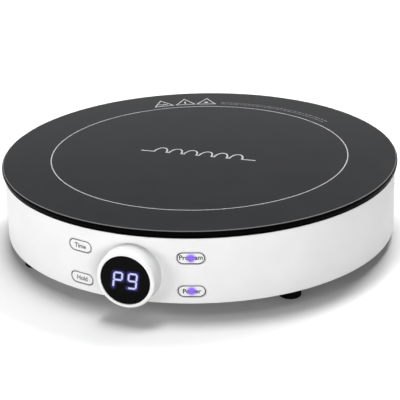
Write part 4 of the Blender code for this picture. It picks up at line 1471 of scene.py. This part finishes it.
@dataclass(frozen=True)
class CoverScrew:
    """A pan-head screw seen from below, with a cross recess."""

    name: str
    head_height: float = 0.0018
    shank: float = 0.0013
    cross_reach: float = 0.0019
    cross_half: float = 0.0004
    cross_depth: float = 0.0011

    def build(self) -> None:
        """Turns the head and shank, and cuts the cross out of the head."""
        low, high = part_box(self.name)
        x, y = (low.x + high.x) / 2, (low.y + high.y) / 2
        head = (high.x - low.x) / 2
        seat = low.z + self.head_height
        corners = [
            (0.0, high.z, SHARP),
            (self.shank, high.z, EASED),
            (self.shank, seat, SHARP),
            (head, seat, CRISP),
            (head, low.z, FULL),
            (0.0, low.z, SHARP),
        ]
        piece = new_piece(f"{self.name}_head", Shape.turned(rounded(corners), 48).moved(x, y))
        reach, half = self.cross_reach, self.cross_half
        arm = np.array(((-reach, -half), (reach, -half), (reach, half), (-reach, half)))
        for degrees in (0.0, 90.0):
            bar = Shape.slab(arm, low.z - MILLIMETRE, low.z + self.cross_depth).turned_by(degrees)
            combine(piece, bar.moved(x, y), "DIFFERENCE")
        place_piece(piece, STEEL, Body.ROOT, [self.name])


class Dressing:
    """Finishes for the frame's nodes that are shown as they are."""

    FINISHES: dict[str, Finish] = {
        "bottom_cover": BASE_WHITE,
        "glass_seal": SILICONE,
        "encoder_rotor": CASE_BLACK,
        "display_barrel": TRIM_BLACK,
        "display_board": BOARD,
        "display_module": CASE_BLACK,
        "encoder_body": STEEL,
        "control_board": BOARD,
        "coil_former": CASE_BLACK,
        "mica_sheet": MICA,
        "thermistor_holder": SILICONE,
        "thermistor": STEEL,
        "power_board": BOARD,
        "igbt": CASE_BLACK,
        "bridge_rectifier": CASE_BLACK,
        "resonant_capacitor": CAPACITOR_BLUE,
        "smoothing_capacitor": CAPACITOR_BLUE,
        "heat_sink": ALUMINIUM,
        "fuse": FUSE_WHITE,
        "buzzer": CASE_BLACK,
        "fan_frame": CASE_BLACK,
        "coil_lead_inner": COPPER,
        "coil_lead_outer": COPPER,
        "thermistor_lead": WIRE_WHITE,
        "fan_lead": CASE_BLACK,
        "control_ribbon": WIRE_WHITE,
    }
    FAMILIES: dict[str, Finish] = {
        "coil_screw": STEEL,
        "ferrite_bar": FERRITE,
        "switch": CASE_BLACK,
        "lamp": LAMP_CLEAR,
    }

    def finish_for(self, node: str) -> Finish:
        """The finish of a node, by its own name or by its family's."""
        if node in self.FINISHES:
            return self.FINISHES[node]
        return next(finish for family, finish in self.FAMILIES.items() if family in node)

    def dress(self) -> None:
        """Gives every node that is still shown its finish."""
        for name, node in sorted(frame["nodes"].items()):
            if node.hide_render:
                continue
            finish = self.finish_for(name)
            node.data.materials.clear()
            node.data.materials.append(finish.material())
            LOG.info("%s: %s", name, finish.name)


def way_out(azimuth: float, elevation: float) -> Vector:
    """The direction out from the object at an azimuth and an elevation, both in degrees."""
    turn, rise = math.radians(azimuth), math.radians(elevation)
    return Vector((math.sin(turn) * math.cos(rise), -math.cos(turn) * math.cos(rise), math.sin(rise)))


@dataclass(frozen=True)
class Softbox:
    """A square softbox that faces the object."""

    name: str
    azimuth: float  # degrees round from the front, towards +X
    elevation: float
    power: float  # watts
    size: float
    distance: float = 2.0
    mirrored: bool = True  # whether shiny surfaces show it

    def build(self, aim: Vector) -> None:
        """Hangs the softbox at its place and turns it to the aim."""
        light = bpy.data.lights.new(self.name, "AREA")
        light.size = self.size
        light.energy = self.power
        obj = new_object(self.name, light)
        obj.visible_glossy = self.mirrored
        obj.location = way_out(self.azimuth, self.elevation) * self.distance
        obj.rotation_euler = (aim - obj.location).to_track_quat("-Z", "Y").to_euler()


@dataclass(frozen=True)
class Studio:
    """The floor, the lights and the camera."""

    azimuth: float = 18.667
    elevation: float = 22.207
    distance: float = 1.01890
    roll: float = -1.4628
    lens: float = 127.710
    aim: Corner = (0.003648, -0.005954, 0.026935)
    floor_size: float = 8.0
    floor_lines: int = 9
    floor_roughness: float = 0.8
    floor_white: float = 0.72
    floor_return: float = 0.35  # its white in light that goes on to the object
    horizon: float = 0.255  # how bright the surround is near the horizon
    overhead: float = 0.053
    horizon_top: float = 0.27  # sine of the height at which the horizon's light starts to fade
    overhead_start: float = 0.385
    softboxes: tuple[Softbox, ...] = (
        Softbox("softbox_rear_low", 170.0, 50.0, 24.8, 0.5, 1.9),
        Softbox("softbox_rear_high", 170.0, 68.0, 8.4, 0.5, 1.9),
        Softbox("softbox_top_left", 230.0, 77.0, 13.7, 0.5, 1.9, False),
        Softbox("softbox_top_right", 200.0, 77.0, 14.6, 0.5, 1.9, False),
        Softbox("softbox_front_right", 30.0, 8.0, 22.5, 0.8, 2.0, False),
        Softbox("softbox_front_left", -30.0, 8.0, 14.4, 0.8, 2.0, False),
        Softbox("softbox_left", -80.0, 8.0, 14.4, 0.8, 2.0, False),
        Softbox("softbox_right", 90.0, 8.0, 2.2, 0.8, 2.0, False),
    )

    def build(self) -> None:
        """Sets the stage."""
        bpy.context.scene.view_settings.view_transform = "Standard"
        self.floor()
        self.world()
        for softbox in self.softboxes:
            softbox.build(Vector(self.aim))
        self.camera()

    def floor(self) -> None:
        """A wide pale floor, a grid of flat faces."""
        across = np.linspace(-self.floor_size / 2, self.floor_size / 2, self.floor_lines)
        x, y = np.meshgrid(across, across, indexing="ij")
        floor = new_piece("floor", Shape.grid(np.stack((x, y, np.zeros_like(x)), axis=-1)))
        floor.data.materials.append(self.floor_material())

    def floor_material(self) -> bpy.types.Material:
        """Matt white that throws less light back at the object than it shows; it is clear from below."""
        nodes = Nodes("floor_white")
        surface = nodes.shader
        surface.inputs["Roughness"].default_value = self.floor_roughness
        surface.inputs["Specular IOR Level"].default_value = 0.0
        ray = nodes.add("ShaderNodeLightPath")
        shown, returned = ((white,) * 3 for white in (self.floor_white, self.floor_return))
        nodes.link(nodes.mixed(ray.outputs["Is Diffuse Ray"], shown, returned), surface.inputs["Base Color"])
        side = nodes.add("ShaderNodeNewGeometry")
        clear = nodes.add("ShaderNodeBsdfTransparent")
        blend = nodes.add("ShaderNodeMixShader")
        nodes.link(side.outputs["Backfacing"], blend.inputs[0])
        nodes.link(surface.outputs[0], blend.inputs[1])
        nodes.link(clear.outputs[0], blend.inputs[2])
        nodes.link(blend.outputs[0], nodes.tree.nodes["Material Output"].inputs["Surface"])
        return nodes.material

    def world(self) -> None:
        """A dim surround, brighter near the horizon."""
        world = bpy.data.worlds.new("surround")
        world.use_nodes = True
        tree = world.node_tree
        place = tree.nodes.new("ShaderNodeTexCoord")
        split = tree.nodes.new("ShaderNodeSeparateXYZ")
        fade = tree.nodes.new("ShaderNodeMapRange")
        fade.interpolation_type = "SMOOTHSTEP"
        levels = (self.horizon_top, self.overhead_start, self.horizon, self.overhead)
        for name, number in zip(RANGE_INPUTS, levels):
            fade.inputs[name].default_value = number
        tree.links.new(place.outputs["Generated"], split.inputs[0])
        tree.links.new(split.outputs["Z"], fade.inputs["Value"])
        tree.links.new(fade.outputs["Result"], tree.nodes["Background"].inputs["Strength"])
        tree.nodes["Background"].inputs["Color"].default_value = (1.0, 1.0, 1.0, 1.0)
        bpy.context.scene.world = world

    def camera(self) -> None:
        """The camera: it looks at the aim from a distance, turned by the roll about its own axis."""
        azimuth, roll = math.radians(self.azimuth), math.radians(self.roll)
        back = way_out(self.azimuth, self.elevation)
        right = Vector((math.cos(azimuth), math.sin(azimuth), 0.0))
        up = back.cross(right)
        leaned_right = right * math.cos(roll) + up * math.sin(roll)
        leaned_up = up * math.cos(roll) - right * math.sin(roll)
        camera = bpy.data.cameras.new("camera")
        camera.lens = self.lens
        camera.sensor_width = 36.0
        obj = new_object("camera", camera)
        turn = Matrix((leaned_right, leaned_up, back)).transposed()
        obj.matrix_world = Matrix.Translation(Vector(self.aim) + back * self.distance) @ turn.to_4x4()
        bpy.context.scene.camera = obj


def main() -> None:
    """Builds the cooktop's looks, sub-assembly by sub-assembly."""
    logging.basicConfig(level=logging.INFO, format="%(name)s: %(message)s")
    layout = Layout.read()
    Studio().build()
    GlassTop(layout).build()
    keys = [
        Key(layout, "timer", Body.TIMER, Word.TIMER, lit=False),
        Key(layout, "lock", Body.LOCK, Word.LOCK, lit=False),
        Key(layout, "function", Body.FUNCTION, Word.FUNCTION, lit=True),
        Key(layout, "power", Body.POWER, Word.POWER, lit=True),
    ]
    Wall(layout).build(keys)
    for key in keys:
        key.build()
    Knob(layout).build()
    Readout(layout).build()
    for name in ("foot_front_left", "foot_front_right", "foot_rear_left", "foot_rear_right"):
        Foot(layout, name).build()
    Gland(layout).build()
    Heating(layout).build()
    Choke().build()
    FanRotor().build()
    for number in range(1, 5):
        CoverScrew(f"cover_screw_{number}").build()
    Dressing().dress()


if __name__ == "__main__":
    main()
